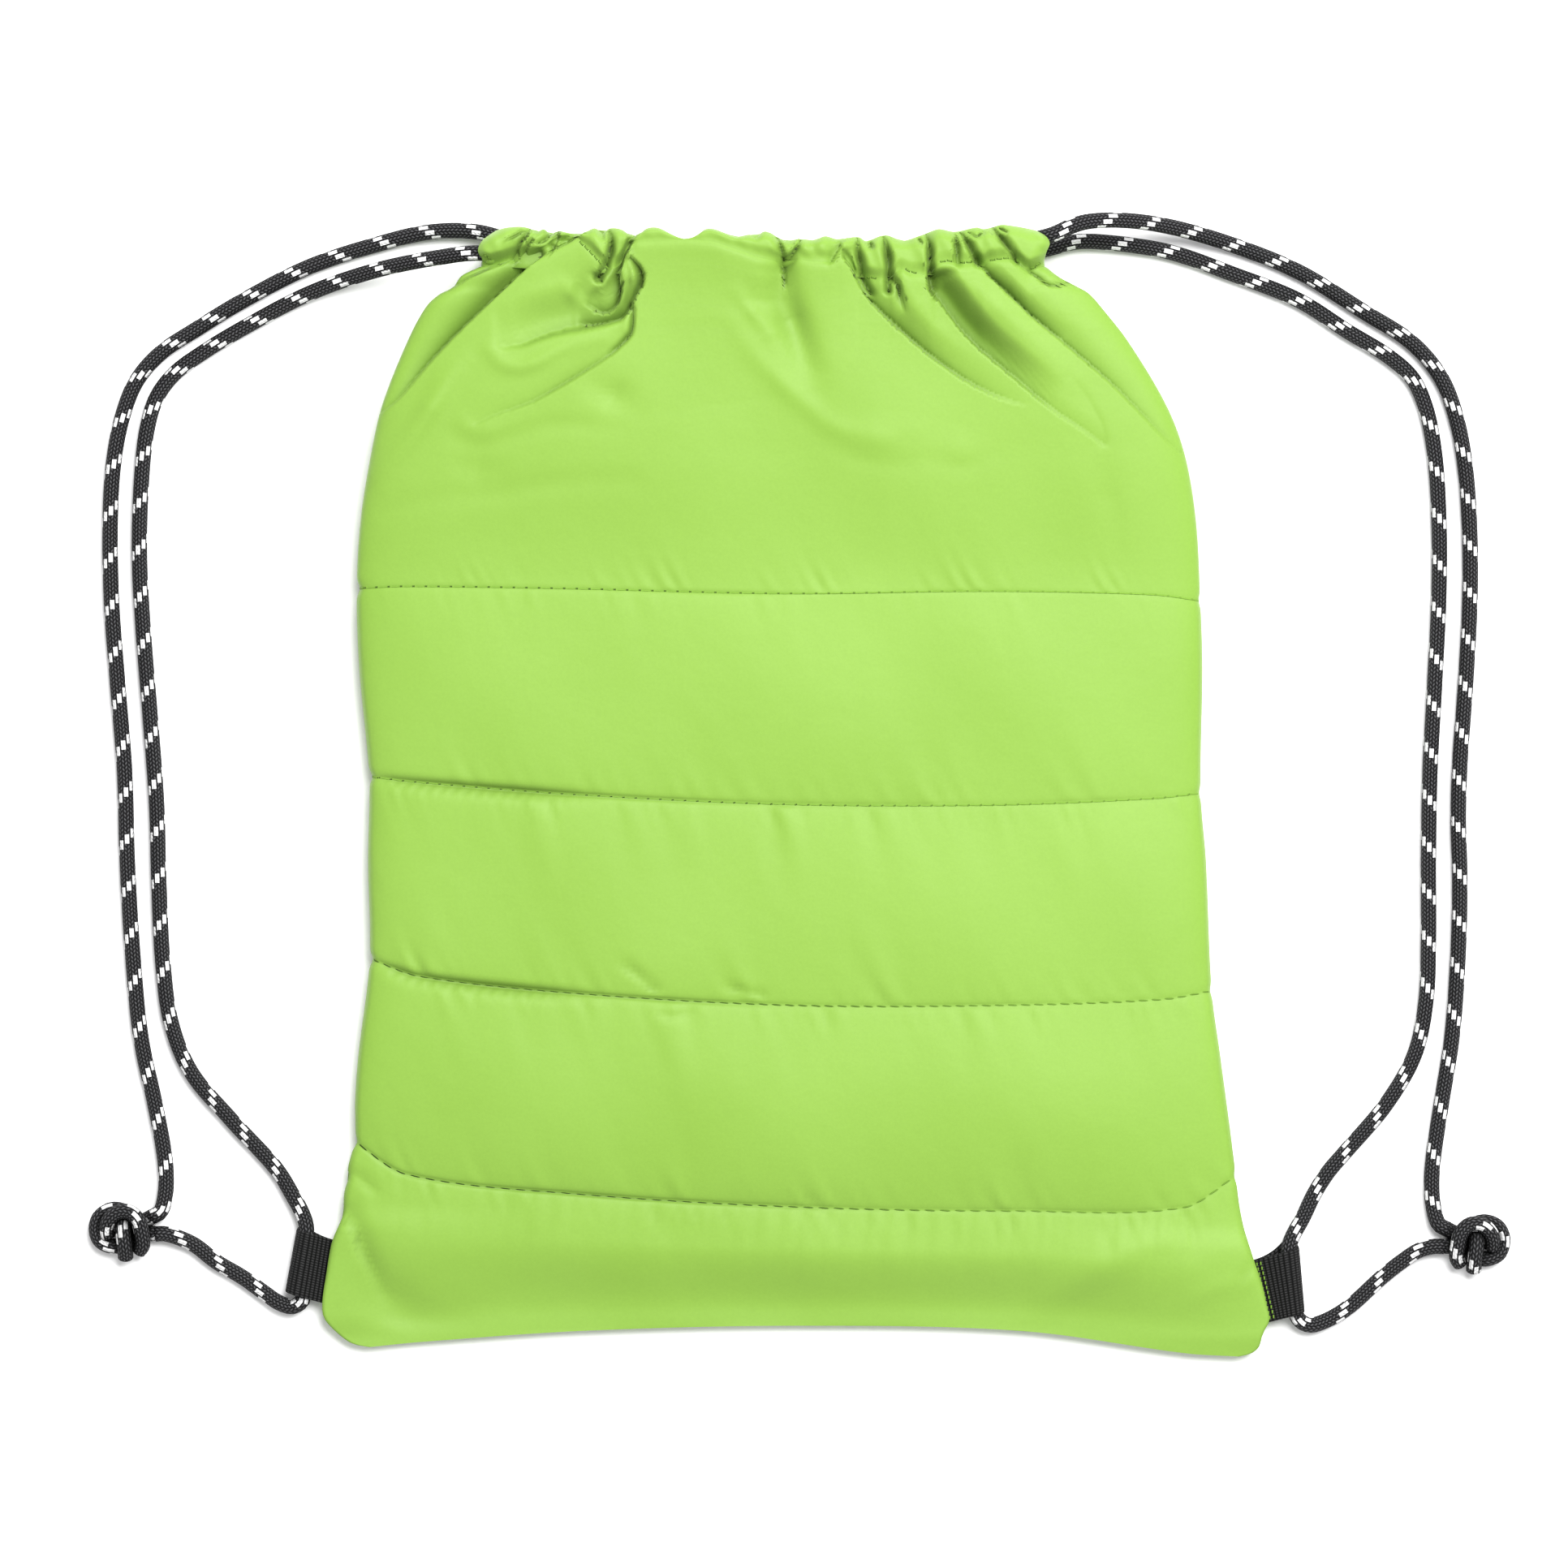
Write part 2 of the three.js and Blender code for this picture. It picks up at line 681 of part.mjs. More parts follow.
// A strip of webbing folded round the cord: a flat double end, sewn into the side seam, and a round
// eye that sags to the surface.
function tabGeometry() {
  const outer = tab.loopRadius + tab.webbing;
  const eye = { x: tab.depth - outer, y: -tab.sag };
  const corner = { x: 1, y: tab.webbing };

  // The angle at which a line from the point meets the eye's circle, above or below it.
  const touch = (from, radius, side) => {
    const away = Math.hypot(eye.x - from.x, eye.y - from.y);
    const back = Math.atan2(from.y - eye.y, from.x - eye.x);
    return back - side * Math.acos(radius / away);
  };
  const outline = new THREE.Shape();
  outline.moveTo(-tab.sewnIn, -tab.webbing);
  outline.lineTo(corner.x, -corner.y);
  const below = touch({ x: corner.x, y: -corner.y }, outer, -1);
  const above = touch(corner, outer, 1);
  outline.absarc(eye.x, eye.y, outer, below, above, false);
  outline.lineTo(corner.x, corner.y);
  outline.lineTo(-tab.sewnIn, tab.webbing);
  outline.closePath();

  const tip = { x: tab.eye, y: -0.25 * tab.sag };
  const opening = new THREE.Path();
  opening.moveTo(tip.x, tip.y);
  const start = touch(tip, tab.loopRadius, -1);
  const end = touch(tip, tab.loopRadius, 1);
  const low = [Math.cos(start), Math.sin(start)].map((part) => part * tab.loopRadius);
  opening.lineTo(eye.x + low[0], eye.y + low[1]);
  opening.absarc(eye.x, eye.y, tab.loopRadius, start, end, false);
  opening.closePath();
  outline.holes.push(opening);

  const made = new THREE.ExtrudeGeometry(outline, {
    depth: tab.width,
    bevelEnabled: false,
    curveSegments: 10,
  });
  made.translate(0, 0, -tab.width / 2);
  made.rotateX(Math.PI / 2);
  return made;
}

// Finishes
const shellCloth = new THREE.MeshStandardMaterial({ color: 0xa6e05a, roughness: 0.55, metalness: 0 });
const cordBraid = new THREE.MeshStandardMaterial({ color: 0x222222, roughness: 0.8, metalness: 0 });
const webbing = new THREE.MeshStandardMaterial({ color: 0x161616, roughness: 0.85, metalness: 0 });

const bag = new THREE.Group();

function addPiece(name, geometry, material) {
  const piece = new THREE.Mesh(geometry, material);
  piece.name = name;
  bag.add(piece);
  return piece;
}

addPiece("front_panel", frontPanel(), shellCloth);
addPiece("back_panel", backPanel(), shellCloth);
addPiece("drawstring_casing", drawstringCasing(), shellCloth);
addPiece("left_cord", cordGeometry(leftRoute), cordBraid);
addPiece("right_cord", cordGeometry(rightRoute), cordBraid);
addPiece("left_knot", knotGeometry(leftKnot), cordBraid);
addPiece("right_knot", knotGeometry(rightKnot), cordBraid);
for (const place of tabs) {
  const loop = addPiece(place.name, tabGeometry(), webbing);
  loop.position.set(place.x, place.y, tabZ);
  loop.rotation.z = degToRad(place.turn);
}

export default bag;
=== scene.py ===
from math import cos, pi, radians, sin

import bpy
import numpy as np
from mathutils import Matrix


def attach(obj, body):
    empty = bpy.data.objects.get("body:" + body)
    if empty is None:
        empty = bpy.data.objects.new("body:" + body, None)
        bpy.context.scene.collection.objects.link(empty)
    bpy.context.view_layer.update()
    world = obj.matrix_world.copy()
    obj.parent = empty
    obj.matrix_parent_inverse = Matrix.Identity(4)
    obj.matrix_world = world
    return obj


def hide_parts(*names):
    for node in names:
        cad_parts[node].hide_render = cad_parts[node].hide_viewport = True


# A quilted drawstring bag lying on its back, seen from straight above. Lengths below are millimetres in
# the part's own frame: +Y towards the mouth, +Z up from the surface that it lies on.
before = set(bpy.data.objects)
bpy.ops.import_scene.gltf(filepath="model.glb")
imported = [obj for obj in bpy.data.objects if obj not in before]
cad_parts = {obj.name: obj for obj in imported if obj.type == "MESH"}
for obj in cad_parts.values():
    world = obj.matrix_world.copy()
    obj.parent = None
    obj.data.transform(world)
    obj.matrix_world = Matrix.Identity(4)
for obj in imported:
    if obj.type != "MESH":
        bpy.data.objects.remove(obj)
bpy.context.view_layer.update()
mm = 0.001
chance = np.random.default_rng(7)


def smoothstep(low, high, x):
    t = np.clip((x - low) / (high - low), 0, 1)
    return t * t * (3 - 2 * t)


def blend(a, b, t):
    return a + (b - a) * t


# A smooth curve through the points (at, value).
def curveThrough(at, value):
    at = np.array(at, float)
    value = np.array(value, float)
    before = np.maximum(np.arange(len(at)) - 1, 0)
    after = np.minimum(np.arange(len(at)) + 1, len(at) - 1)
    slope = (value[after] - value[before]) / (at[after] - at[before])

    def curve(x):
        i = np.clip(np.searchsorted(at, x, side="right") - 1, 0, len(at) - 2)
        span = at[i + 1] - at[i]
        t = np.clip((x - at[i]) / span, 0, 1)
        s = 1 - t
        ends = value[i] * s * s * (1 + 2 * t) + value[i + 1] * t * t * (1 + 2 * s)
        return ends + span * (slope[i] * t * s * s - slope[i + 1] * t * t * s)

    return curve


# Evenly spaced points on a centripetal curve through the given ones.
def smoothPath(points, spacing, between=24):
    p = np.array(points, float)
    p = np.vstack([2 * p[0] - p[1], p, 2 * p[-1] - p[-2]])
    t = np.linspace(0, 1, between, endpoint=False)[:, None]
    made = []
    for a, b, c, d in zip(p, p[1:], p[2:], p[3:]):
        ab, bc, cd = (np.linalg.norm(k) ** 0.5 for k in (b - a, c - b, d - c))
        leave = ((b - a) / ab - (c - a) / (ab + bc) + (c - b) / bc) * bc
        reach = ((c - b) / bc - (d - b) / (bc + cd) + (d - c) / cd) * bc
        s = 1 - t
        ends = b * s * s * (1 + 2 * t) + c * t * t * (1 + 2 * s)
        made.append(ends + leave * t * s * s - reach * t * t * s)
    made.append(p[-2][None])
    fine = np.vstack(made)
    length = np.r_[0, np.cumsum(np.linalg.norm(np.diff(fine, axis=0), axis=1))]
    at = np.linspace(0, length[-1], max(2, round(length[-1] / spacing) + 1))
    return np.column_stack([np.interp(at, length, fine[:, k]) for k in range(fine.shape[1])])


def lengthOf(path):
    return float(np.linalg.norm(np.diff(path, axis=0), axis=1).sum())


# The quads of a grid, and the row and column of each corner, not wrapped round, for its texture.
def gridQuads(rows, columns, roundRows=False, roundColumns=False):
    r, c = np.meshgrid(
        np.arange(rows if roundRows else rows - 1),
        np.arange(columns if roundColumns else columns - 1),
        indexing="ij",
    )
    r, c = r.ravel(), c.ravel()
    cornerRow = np.stack([r, r, r + 1, r + 1], 1)
    cornerColumn = np.stack([c, c + 1, c + 1, c], 1)
    return (cornerRow % rows) * columns + cornerColumn % columns, cornerRow, cornerColumn


# A piece from its parts: points in millimetres, faces as rows of point numbers, and a texture place for
# each face corner, or None
def makeMesh(name, parts, material):
    points, faces, corners = parts
    mesh = bpy.data.meshes.new(name)
    mesh.from_pydata((np.asarray(points) * mm).tolist(), [], [list(map(int, f)) for f in faces])
    if corners is not None:
        layer = mesh.uv_layers.new(name="cloth")
        layer.data.foreach_set("uv", np.asarray(corners, np.float32).ravel())
    mesh.polygons.foreach_set("use_smooth", np.full(len(mesh.polygons), True))
    mesh.update()
    mesh.materials.append(material)
    piece = bpy.data.objects.new(name, mesh)
    bpy.context.collection.objects.link(piece)
    return piece


def joinParts(several):
    points, faces, corners = [], [], []
    start = 0
    for somePoints, someFaces, someCorners in several:
        points.append(somePoints)
        faces += [[start + i for i in face] for face in someFaces]
        corners.append(someCorners)
        start += len(somePoints)
    return np.vstack(points), faces, np.vstack(corners)


# Materials
class Nodes:
    def __init__(self, name):
        self.material = bpy.data.materials.new(name)
        self.material.use_nodes = True
        self.tree = self.material.node_tree
        self.shader = self.tree.nodes["Principled BSDF"]

    def add(self, kind, inputs=(), **settings):
        node = self.tree.nodes.new(kind)
        for key, value in settings.items():
            setattr(node, key, value)
        for key, value in dict(inputs).items():
            self.set(node, key, value)
        return node

    def set(self, node, key, value):
        if isinstance(value, bpy.types.NodeSocket):
            self.tree.links.new(value, node.inputs[key])
        else:
            node.inputs[key].default_value = value

    # places across and along the cloth, in metres, or round and along a cord
    def onCloth(self):
        where = self.add("ShaderNodeUVMap", uv_map="cloth").outputs[0]
        return self.add("ShaderNodeSeparateXYZ", {0: where}).outputs[:2]

    def inSpace(self):
        return self.add("ShaderNodeTexCoord").outputs["Object"]

    def math(self, operation, a, b=0.0, c=0.0):
        return self.add("ShaderNodeMath", {0: a, 1: b, 2: c}, operation=operation).outputs[0]

    def noise(self, where, scale, detail=3.0):
        inputs = {"Vector": where, "Scale": scale, "Detail": detail}
        return self.add("ShaderNodeTexNoise", inputs).outputs["Fac"]

    def ramp(self, value, low, high):
        node = self.add("ShaderNodeValToRGB", {"Fac": value})
        node.color_ramp.elements[0].position = low
        node.color_ramp.elements[1].position = high
        return node.outputs["Color"]

    # painted shade: ambient occlusion from the piece itself, used to darken its colour in hollows and
    # grooves
    def nook(self, reach, samples):
        settings = {"samples": samples, "only_local": True}
        return self.add("ShaderNodeAmbientOcclusion", {"Distance": reach * mm}, **settings).outputs["AO"]

    def mix(self, share, a, b):
        node = self.add("ShaderNodeMix", data_type="RGBA")
        self.set(node, 0, share)
        self.set(node, 6, a)
        self.set(node, 7, b)
        return node.outputs[2]

    def bump(self, height, strength, distance, after=None):
        inputs = {"Height": height, "Strength": strength, "Distance": distance}
        if after:
            inputs["Normal"] = after
        return self.add("ShaderNodeBump", inputs).outputs["Normal"]

    def surface(self, **inputs):
        for key, value in inputs.items():
            self.set(self.shader, key.replace("_", " "), value)
        return self.material


# Lime cloth: a close plain weave with faint flecks, slightly satiny, with painted shade in its folds.
limeCloth = {
    "thread": 0.42,
    "tones": ((0.172, 0.312, 0.039, 1), (0.184, 0.328, 0.046, 1)),
    "sheen": (0.8, 1.0, 0.5, 1),
    "grain": 2600.0, "fleck": 900.0, "ripple": 120.0, "cloud": 14.0,  # patterns to a metre
    # how far, how steeply and how much the painted shade in the folds darkens the colour
    "nook": 16.0, "paintedShadePower": 1.4, "paintedShadeShare": 0.55,
    "roughness": 0.46,
}


def clothMaterial():
    m = Nodes("lime_cloth")
    place = m.inSpace()
    turns = 2 * pi / (limeCloth["thread"] * mm)
    warp, weft = [m.math("SINE", m.math("MULTIPLY", way, turns)) for way in m.onCloth()]
    weave = m.math("MULTIPLY", warp, weft)
    grain = m.noise(place, limeCloth["grain"], 2.0)
    cloudy = m.noise(place, limeCloth["cloud"])
    fleck = m.noise(place, limeCloth["fleck"], 2.0)
    tone = m.mix(m.ramp(cloudy, 0.3, 0.7), *limeCloth["tones"])
    # painted shade: the colour is darkened where ambient occlusion finds the cloth inside a fold; the
    # flecks are the cloth's own
    unfolded = m.math("POWER", m.nook(limeCloth["nook"], 8), limeCloth["paintedShadePower"])
    paintedFoldShade = m.math("MULTIPLY_ADD", unfolded, limeCloth["paintedShadeShare"], 1 - limeCloth["paintedShadeShare"])
    shade = m.math("MULTIPLY", m.math("MULTIPLY_ADD", fleck, 0.1, 0.95), paintedFoldShade)
    colour = m.add("ShaderNodeHueSaturation", {"Value": shade, "Color": tone}).outputs[0]
    wavy = m.bump(m.noise(place, limeCloth["ripple"]), 0.12, 0.0012)
    woven = m.bump(m.math("ADD", m.math("MULTIPLY", weave, 0.5), grain), 0.18, 0.0001, wavy)
    return m.surface(
        Base_Color=colour,
        Normal=woven,
        Roughness=m.math("MULTIPLY_ADD", cloudy, 0.1, limeCloth["roughness"]),
        Specular_IOR_Level=0.22,
        Sheen_Weight=0.08,
        Sheen_Roughness=0.45,
        Sheen_Tint=limeCloth["sheen"],
    )


# Sewing thread in the cloth's own green, with painted shade where it sinks into the cloth: its texture
# says how dark that painted shade is.
greenThread = {
    "lit": ((0.15, 0.28, 0.035, 1), (0.2, 0.36, 0.05, 1)),
    # the colour of the painted shade where the thread sinks into the cloth
    "sunk": (0.026, 0.052, 0.007, 1),
    "fuzz": 4200.0,
}


def threadMaterial():
    m = Nodes("green_thread")
    # painted shade: the texture's first coordinate mixes the thread towards its dark sunk colour
    sunk = m.onCloth()[0]
    fuzz = m.noise(m.inSpace(), greenThread["fuzz"], 2.0)
    return m.surface(
        Base_Color=m.mix(sunk, m.mix(fuzz, *greenThread["lit"]), greenThread["sunk"]),
        Normal=m.bump(fuzz, 0.4, 0.0002),
        Roughness=0.65,
        Specular_IOR_Level=0.08,
    )


# A braided cord: columns of slanting picks, with white tracer picks climbing round it in a long helix.
# hand is -1 for a helix that climbs to the right and 1 for one that climbs to the left.
braid = {
    "columns": 16, "pick": 1.6, "lean": 0.55, "fuzz": 3500.0,
    "tracerColumns": 8, "tracerPitch": 18.0, "tracerLength": 3.5, "tracerHalf": 0.36,
    # black runs from the painted shade in the grooves to the painted light on the picks' crowns
    "black": ((0.0008, 0.0008, 0.001, 1), (0.115, 0.115, 0.12, 1)), "white": (0.62, 0.62, 0.62, 1),
    "nook": 5.0, "paintedShadePower": 2.2,
}


def braidMaterial(name, hand):
    m = Nodes(name)
    turn, along = m.onCloth()
    column = m.math("MULTIPLY", turn, float(braid["columns"]))
    within = m.math("FRACT", column)
    odd = m.math("FLOORED_MODULO", m.math("FLOOR", column), 2.0)
    lean = m.math("MULTIPLY_ADD", odd, 2.0, -1.0)
    picks = m.math("DIVIDE", along, braid["pick"] * mm)
    phase = m.math("MULTIPLY_ADD", m.math("MULTIPLY", lean, within), braid["lean"], picks)
    ridge = m.math("MULTIPLY_ADD", m.math("SINE", m.math("MULTIPLY", phase, 2 * pi)), 0.5, 0.5)
    hump = m.math("SINE", m.math("MULTIPLY", within, pi))
    height = m.math("MULTIPLY", m.math("POWER", hump, 0.6), m.math("MULTIPLY_ADD", ridge, 0.65, 0.35))

    wide = m.math("MULTIPLY_ADD", turn, float(braid["tracerColumns"]), 0.5)
    tracer = m.math("FLOOR", wide)
    climb = m.math("MULTIPLY", tracer, hand * braid["tracerPitch"] / braid["tracerColumns"])
    far = m.math("SUBTRACT", m.math("DIVIDE", along, mm), climb)
    turned = m.math("FLOORED_MODULO", far, braid["tracerPitch"])
    off = m.math("ABSOLUTE", m.math("SUBTRACT", turned, braid["tracerPitch"] / 2))
    aside = m.math("ABSOLUTE", m.math("SUBTRACT", m.math("FRACT", wide), 0.5))
    lies = m.math("LESS_THAN", off, braid["tracerLength"] / 2)
    slim = m.math("LESS_THAN", aside, braid["tracerHalf"])
    white = m.math("MULTIPLY", lies, slim)

    fuzz = m.noise(m.inSpace(), braid["fuzz"])
    # painted light and shade: the crowns of the picks are painted lighter and the grooves darker, with
    # random fuzz in the tone
    paintedReliefAndFuzz = m.math("MULTIPLY", m.math("POWER", height, 2.4), m.math("MULTIPLY_ADD", fuzz, 0.8, 0.35))
    # painted shade: ambient occlusion darkens the braid where strands lie close
    shade = m.math("POWER", m.nook(braid["nook"], 6), braid["paintedShadePower"])
    plain = m.mix(white, m.mix(paintedReliefAndFuzz, *braid["black"]), braid["white"])
    colour = m.add("ShaderNodeHueSaturation", {"Value": shade, "Color": plain}).outputs[0]
    normal = m.bump(m.math("ADD", height, m.math("MULTIPLY", fuzz, 0.35)), 0.75, 0.0006)
    return m.surface(
        Base_Color=colour,
        Normal=normal,
        Roughness=m.math("MULTIPLY_ADD", fuzz, 0.2, 0.55),
        Specular_IOR_Level=0.1,
    )


# Black webbing: raised ribs across the strip, each crossed by fine picks, with painted light on the
# ribs' crowns and painted shade in the grooves between them.
webbingWeave = {
    "rib": 1.75, "pick": 0.95, "fuzz": 3800.0,
    "black": ((0.001, 0.001, 0.001, 1), (0.075, 0.075, 0.075, 1)),
}


def webbingMaterial():
    m = Nodes("black_webbing")
    across, along = m.onCloth()
    ribs = m.math("MULTIPLY", along, pi / (webbingWeave["rib"] * mm))
    rib = m.math("ABSOLUTE", m.math("SINE", ribs))
    picks = m.math("MULTIPLY", across, 2 * pi / (webbingWeave["pick"] * mm))
    pick = m.math("MULTIPLY_ADD", m.math("SINE", picks), 0.5, 0.5)
    height = m.math("MULTIPLY", m.math("POWER", rib, 0.7), m.math("MULTIPLY_ADD", pick, 0.6, 0.4))
    fuzz = m.noise(m.inSpace(), webbingWeave["fuzz"])
    # painted light and shade from the ribs' height, with random fuzz in the tone
    paintedReliefAndFuzz = m.math("MULTIPLY", m.math("POWER", height, 2.0), fuzz)
    normal = m.bump(m.math("ADD", height, m.math("MULTIPLY", fuzz, 0.3)), 0.8, 0.0007)
    return m.surface(
        Base_Color=m.mix(paintedReliefAndFuzz, *webbingWeave["black"]),
        Normal=normal,
        Roughness=m.math("MULTIPLY_ADD", fuzz, 0.2, 0.6),
        Specular_IOR_Level=0.1,
    )


def floorMaterial():
    m = Nodes("white_floor")
    return m.surface(
        Base_Color=m.mix(m.noise(m.inSpace(), 9.0, 2.0), (0.93, 0.93, 0.93, 1), (0.95, 0.95, 0.95, 1)),
        Roughness=0.9,
        Specular_IOR_Level=0.1,
    )


cloth = clothMaterial()
thread = threadMaterial()
leftBraid = braidMaterial("left_cord_braid", -1)
rightBraid = braidMaterial("right_cord_braid", 1)
webbing = webbingMaterial()
print("materials made")

# Camera, floor and light
shot = {"span": 598.9, "centre": (-4.185, 3.255, 15.0), "distance": 3200.0, "sensor": 36.0}
camera = bpy.data.objects.new("camera", bpy.data.cameras.new("camera"))
camera.data.sensor_width = shot["sensor"]
camera.data.lens = shot["sensor"] * shot["distance"] / shot["span"]
camera.data.dof.use_dof = False
x, y, z = shot["centre"]
camera.location = (x * mm, y * mm, (z + shot["distance"]) * mm)
bpy.context.collection.objects.link(camera)
bpy.context.scene.camera = camera

ground = {"half": 3000.0, "below": 0.2}
square = [(-1, -1), (1, -1), (1, 1), (-1, 1)]
points = [(a * ground["half"], b * ground["half"], -ground["below"]) for a, b in square]
floor = makeMesh("floor", (points, [[0, 1, 2, 3]], None), floorMaterial())

# One large soft box, aimed at the middle of the bag, and white all round; lengths here are metres
studio = {"lamp": (0.85, 1.32, 2.95), "size": 2.2, "power": 219.0, "around": 0.74}
light = bpy.data.lights.new("key", "AREA")
light.shape = "DISK"
light.size = studio["size"]
light.energy = studio["power"]
lamp = bpy.data.objects.new("key", light)
lamp.location = studio["lamp"]
lamp.rotation_euler = (-lamp.location).to_track_quat("-Z", "Y").to_euler()
bpy.context.collection.objects.link(lamp)

world = bpy.data.worlds.new("studio")
world.use_nodes = True
world.node_tree.nodes["Background"].inputs["Color"].default_value = (1, 1, 1, 1)
world.node_tree.nodes["Background"].inputs["Strength"].default_value = studio["around"]
bpy.context.scene.world = world
bpy.context.scene.view_settings.view_transform = "Standard"
print("camera and light set")

# The bag's outline: the two side seams from the bottom corners to the neck, and the lines sewn across
# it, read at seven stations. side is the side seam's height, rise is how far the middle of the front
# stands above it, and puff is how far the channel above the line swells.
bag = {
    "edge": 1.6,
    "seamGap": 0.3,
    "rollsTo": 0.7,  # part of the second channel over which the front rolls up
    "left": [
        (-212.4, -163), (-211.4, -168.6), (-209.9, -171.5), (-208.3, -173.7), (-206.3, -175.9),
        (-203.3, -178.8), (-200.4, -180.5), (-196.3, -180.9), (-190.3, -180.3), (-184.3, -179.3),
        (-178.3, -178.4), (-172.3, -177.2), (-167.3, -175.3), (-163.2, -173.4), (-160, -172.7),
        (-154, -172.6), (-150, -171.6), (-147, -170.6), (-144, -171), (-141, -170.4), (-138, -169.6),
        (-134, -168.8), (-130, -168.1), (-118, -168.2), (-100, -166.9), (-63.7, -162.6), (-26, -163.2),
        (6, -162.8), (48, -166.6), (78, -167.5), (104, -166), (129, -162), (148, -157.6), (172, -148),
        (185, -141), (189.5, -136.2), (192.3, -130.8), (196.8, -127.3), (199.4, -122.1),
        (200.4, -119.8),
    ],
    "right": [
        (-216, 170), (-215.2, 173.6), (-214, 176), (-212.6, 177.4), (-211, 178.1), (-208, 178.8),
        (-205, 180.1), (-202, 181.6), (-196, 180.4), (-189.3, 179), (-181, 176.3), (-178, 175.3),
        (-172, 173.4), (-167, 171.9), (-160, 170.4), (-154, 169.5), (-146.8, 168.7), (-138, 167.6),
        (-126, 166.1), (-100, 162.6), (-75.8, 159.4), (-26, 157.2), (-0.2, 155.2), (48, 155.8),
        (73.3, 155), (104, 153.3), (129, 149), (148, 141.8), (172, 127.3), (185, 117), (190.3, 112),
        (193.1, 106.9), (196.4, 100.7), (200.6, 95.3),
    ],
    "square": [3, 3, 3, 3, 3, 5],  # how square the front's section is at each line
    "yokeClimb": 1.5,
    "stations": [-1, -0.88, -0.5, 0, 0.5, 0.88, 1],
    "lines": [
        {"y": [-212.4, -210.4, -206.1, -204.2, -206.2, -214.8, -216], "side": 5, "rise": 0, "puff": 2.4},
        {"y": [-133.8, -145.9, -153.3, -158.3, -159.8, -158.6, -146.8], "side": 9, "rise": 4.2,
         "puff": 2.4},
        {"y": [-63.7, -70.2, -76.7, -81.1, -81.1, -78.9, -75.8], "side": 10, "rise": 9.5, "puff": 2.4},
        {"y": [6, 3.9, -0.8, -4.5, -4.7, -2.3, -0.2], "side": 10, "rise": 11, "puff": 2},
        {"y": [78, 78.6, 77.7, 75.8, 76.7, 75.5, 73.3], "side": 11, "rise": 12.5, "puff": 5},
        {"y": [200.4, 199.2, 196.8, 195.3, 195.9, 198.8, 200.6], "side": 18, "rise": 14, "puff": 0},
    ],
}
yoke = len(bag["lines"]) - 2
leftX = curveThrough(*zip(*bag["left"]))
rightX = curveThrough(*zip(*bag["right"]))
lineY = [curveThrough(bag["stations"], line["y"]) for line in bag["lines"]]

# Each tab is a loop of webbing; flare and skew pull its fold aside, open draws its lower layer up out of
# the loop, and cord is how far out its cord lies on the way through.
tab = {
    "width": 24.6, "webbing": 1.5, "sewnIn": 6.0, "radius": 4.1, "sag": 0.6,
    "cordAt": (-0.62, -0.2, 0.2, 0.46),  # parts of the width at which cord is given
    "step": 0.5, "across": 24,
}
tabs = {
    "left_tab": {
        "x": -178.8, "y": -183.4, "turn": 171, "depth": 14.8, "flare": 0.02, "skew": -0.13, "open": -3.0,
        "cord": (10.2, 9.6, 8.8, 7.4),
    },
    "right_tab": {
        "x": 177.9, "y": -191.1, "turn": 13.5, "depth": 17.0, "flare": 0.11, "skew": 0.03, "open": 6.5,
        "cord": (15.0, 12.8, 11.6, 11.2),
    },
}
tabPocket = {"full": 16.0, "faded": 26.0}  # how far along the seam it opens for a tab
tabZ = blend(bag["lines"][0]["side"], bag["lines"][1]["side"], 0.35)

# The casing at the mouth is a flat ring standing on edge.
casing = {"centre": -12.2, "halfRun": 90.0, "bend": 12.0, "halfHeight": 8.0, "halfDepth": 6.0, "gap": 0.4}
casingZ = casing["halfDepth"] + casing["bend"]


def casingY(x):
    left, right = bag["left"][-1][1], bag["right"][-1][1]
    u = np.clip(2 * (x - left) / (right - left) - 1, -1, 1)
    return lineY[-1](u) + casing["gap"] + casing["halfHeight"]


# Cords: each leaves its knot, goes up the outer strand, through the casing and round its far end, back
# out on the same side, down the inner strand, through its tab and back to the knot.
cord = {
    "diameter": 6.0, "sides": 18, "step": 1.6,
    "knotReach": (13.4, 17.4), "knotZ": 4.6, "knotStep": 0.9, "knotRound": 0.8,
    "aside": 2.6, "above": 1.6, "tucked": 2.4,  # along the tunnel's back wall
    "frontAside": 3.05, "sunk": 9.5, "frontTucked": 3.2,  # and along its front wall
    "turn": 8.0,
}
leftKnot = {"x": -257.6, "y": -168.6, "outer": 29, "inner": 0}
rightKnot = {"x": 261.2, "y": -173.4, "outer": 151, "inner": 180}


def throughCasing(side, wall, level):
    parts = (-0.98, -0.7, -0.35, 0, 0.35, 0.7, 0.98)

    # two cords lie along each wall of the tunnel, side by side and away from the mouth's edge
    def near(part, toWall, height):
        at = casing["centre"] + side * part * casing["halfRun"]
        hidden = 0.5 if part == parts[0] else 1
        middle = float(casingY(at))
        if toWall > 0:
            y = middle + height * cord["frontAside"] - hidden * cord["frontTucked"]
            return (at, y, casingZ + casing["bend"] - cord["sunk"])
        y = middle + height * cord["aside"] - hidden * cord["tucked"]
        return (at, y, casingZ - casing["bend"] + height * cord["above"])

    out = [near(part, wall, level) for part in parts]
    back = [near(part, -wall, -level) for part in reversed(parts)]
    ahead, behind = np.array(out[-1]), np.array(back[0])
    bend = []
    for degrees in range(30, 180, 30):
        turn = radians(degrees)
        x, y, z = blend(ahead, behind, 0.5 - 0.5 * cos(turn))
        bend.append((x + side * cord["turn"] * sin(turn), y, z))
    return out + bend + back


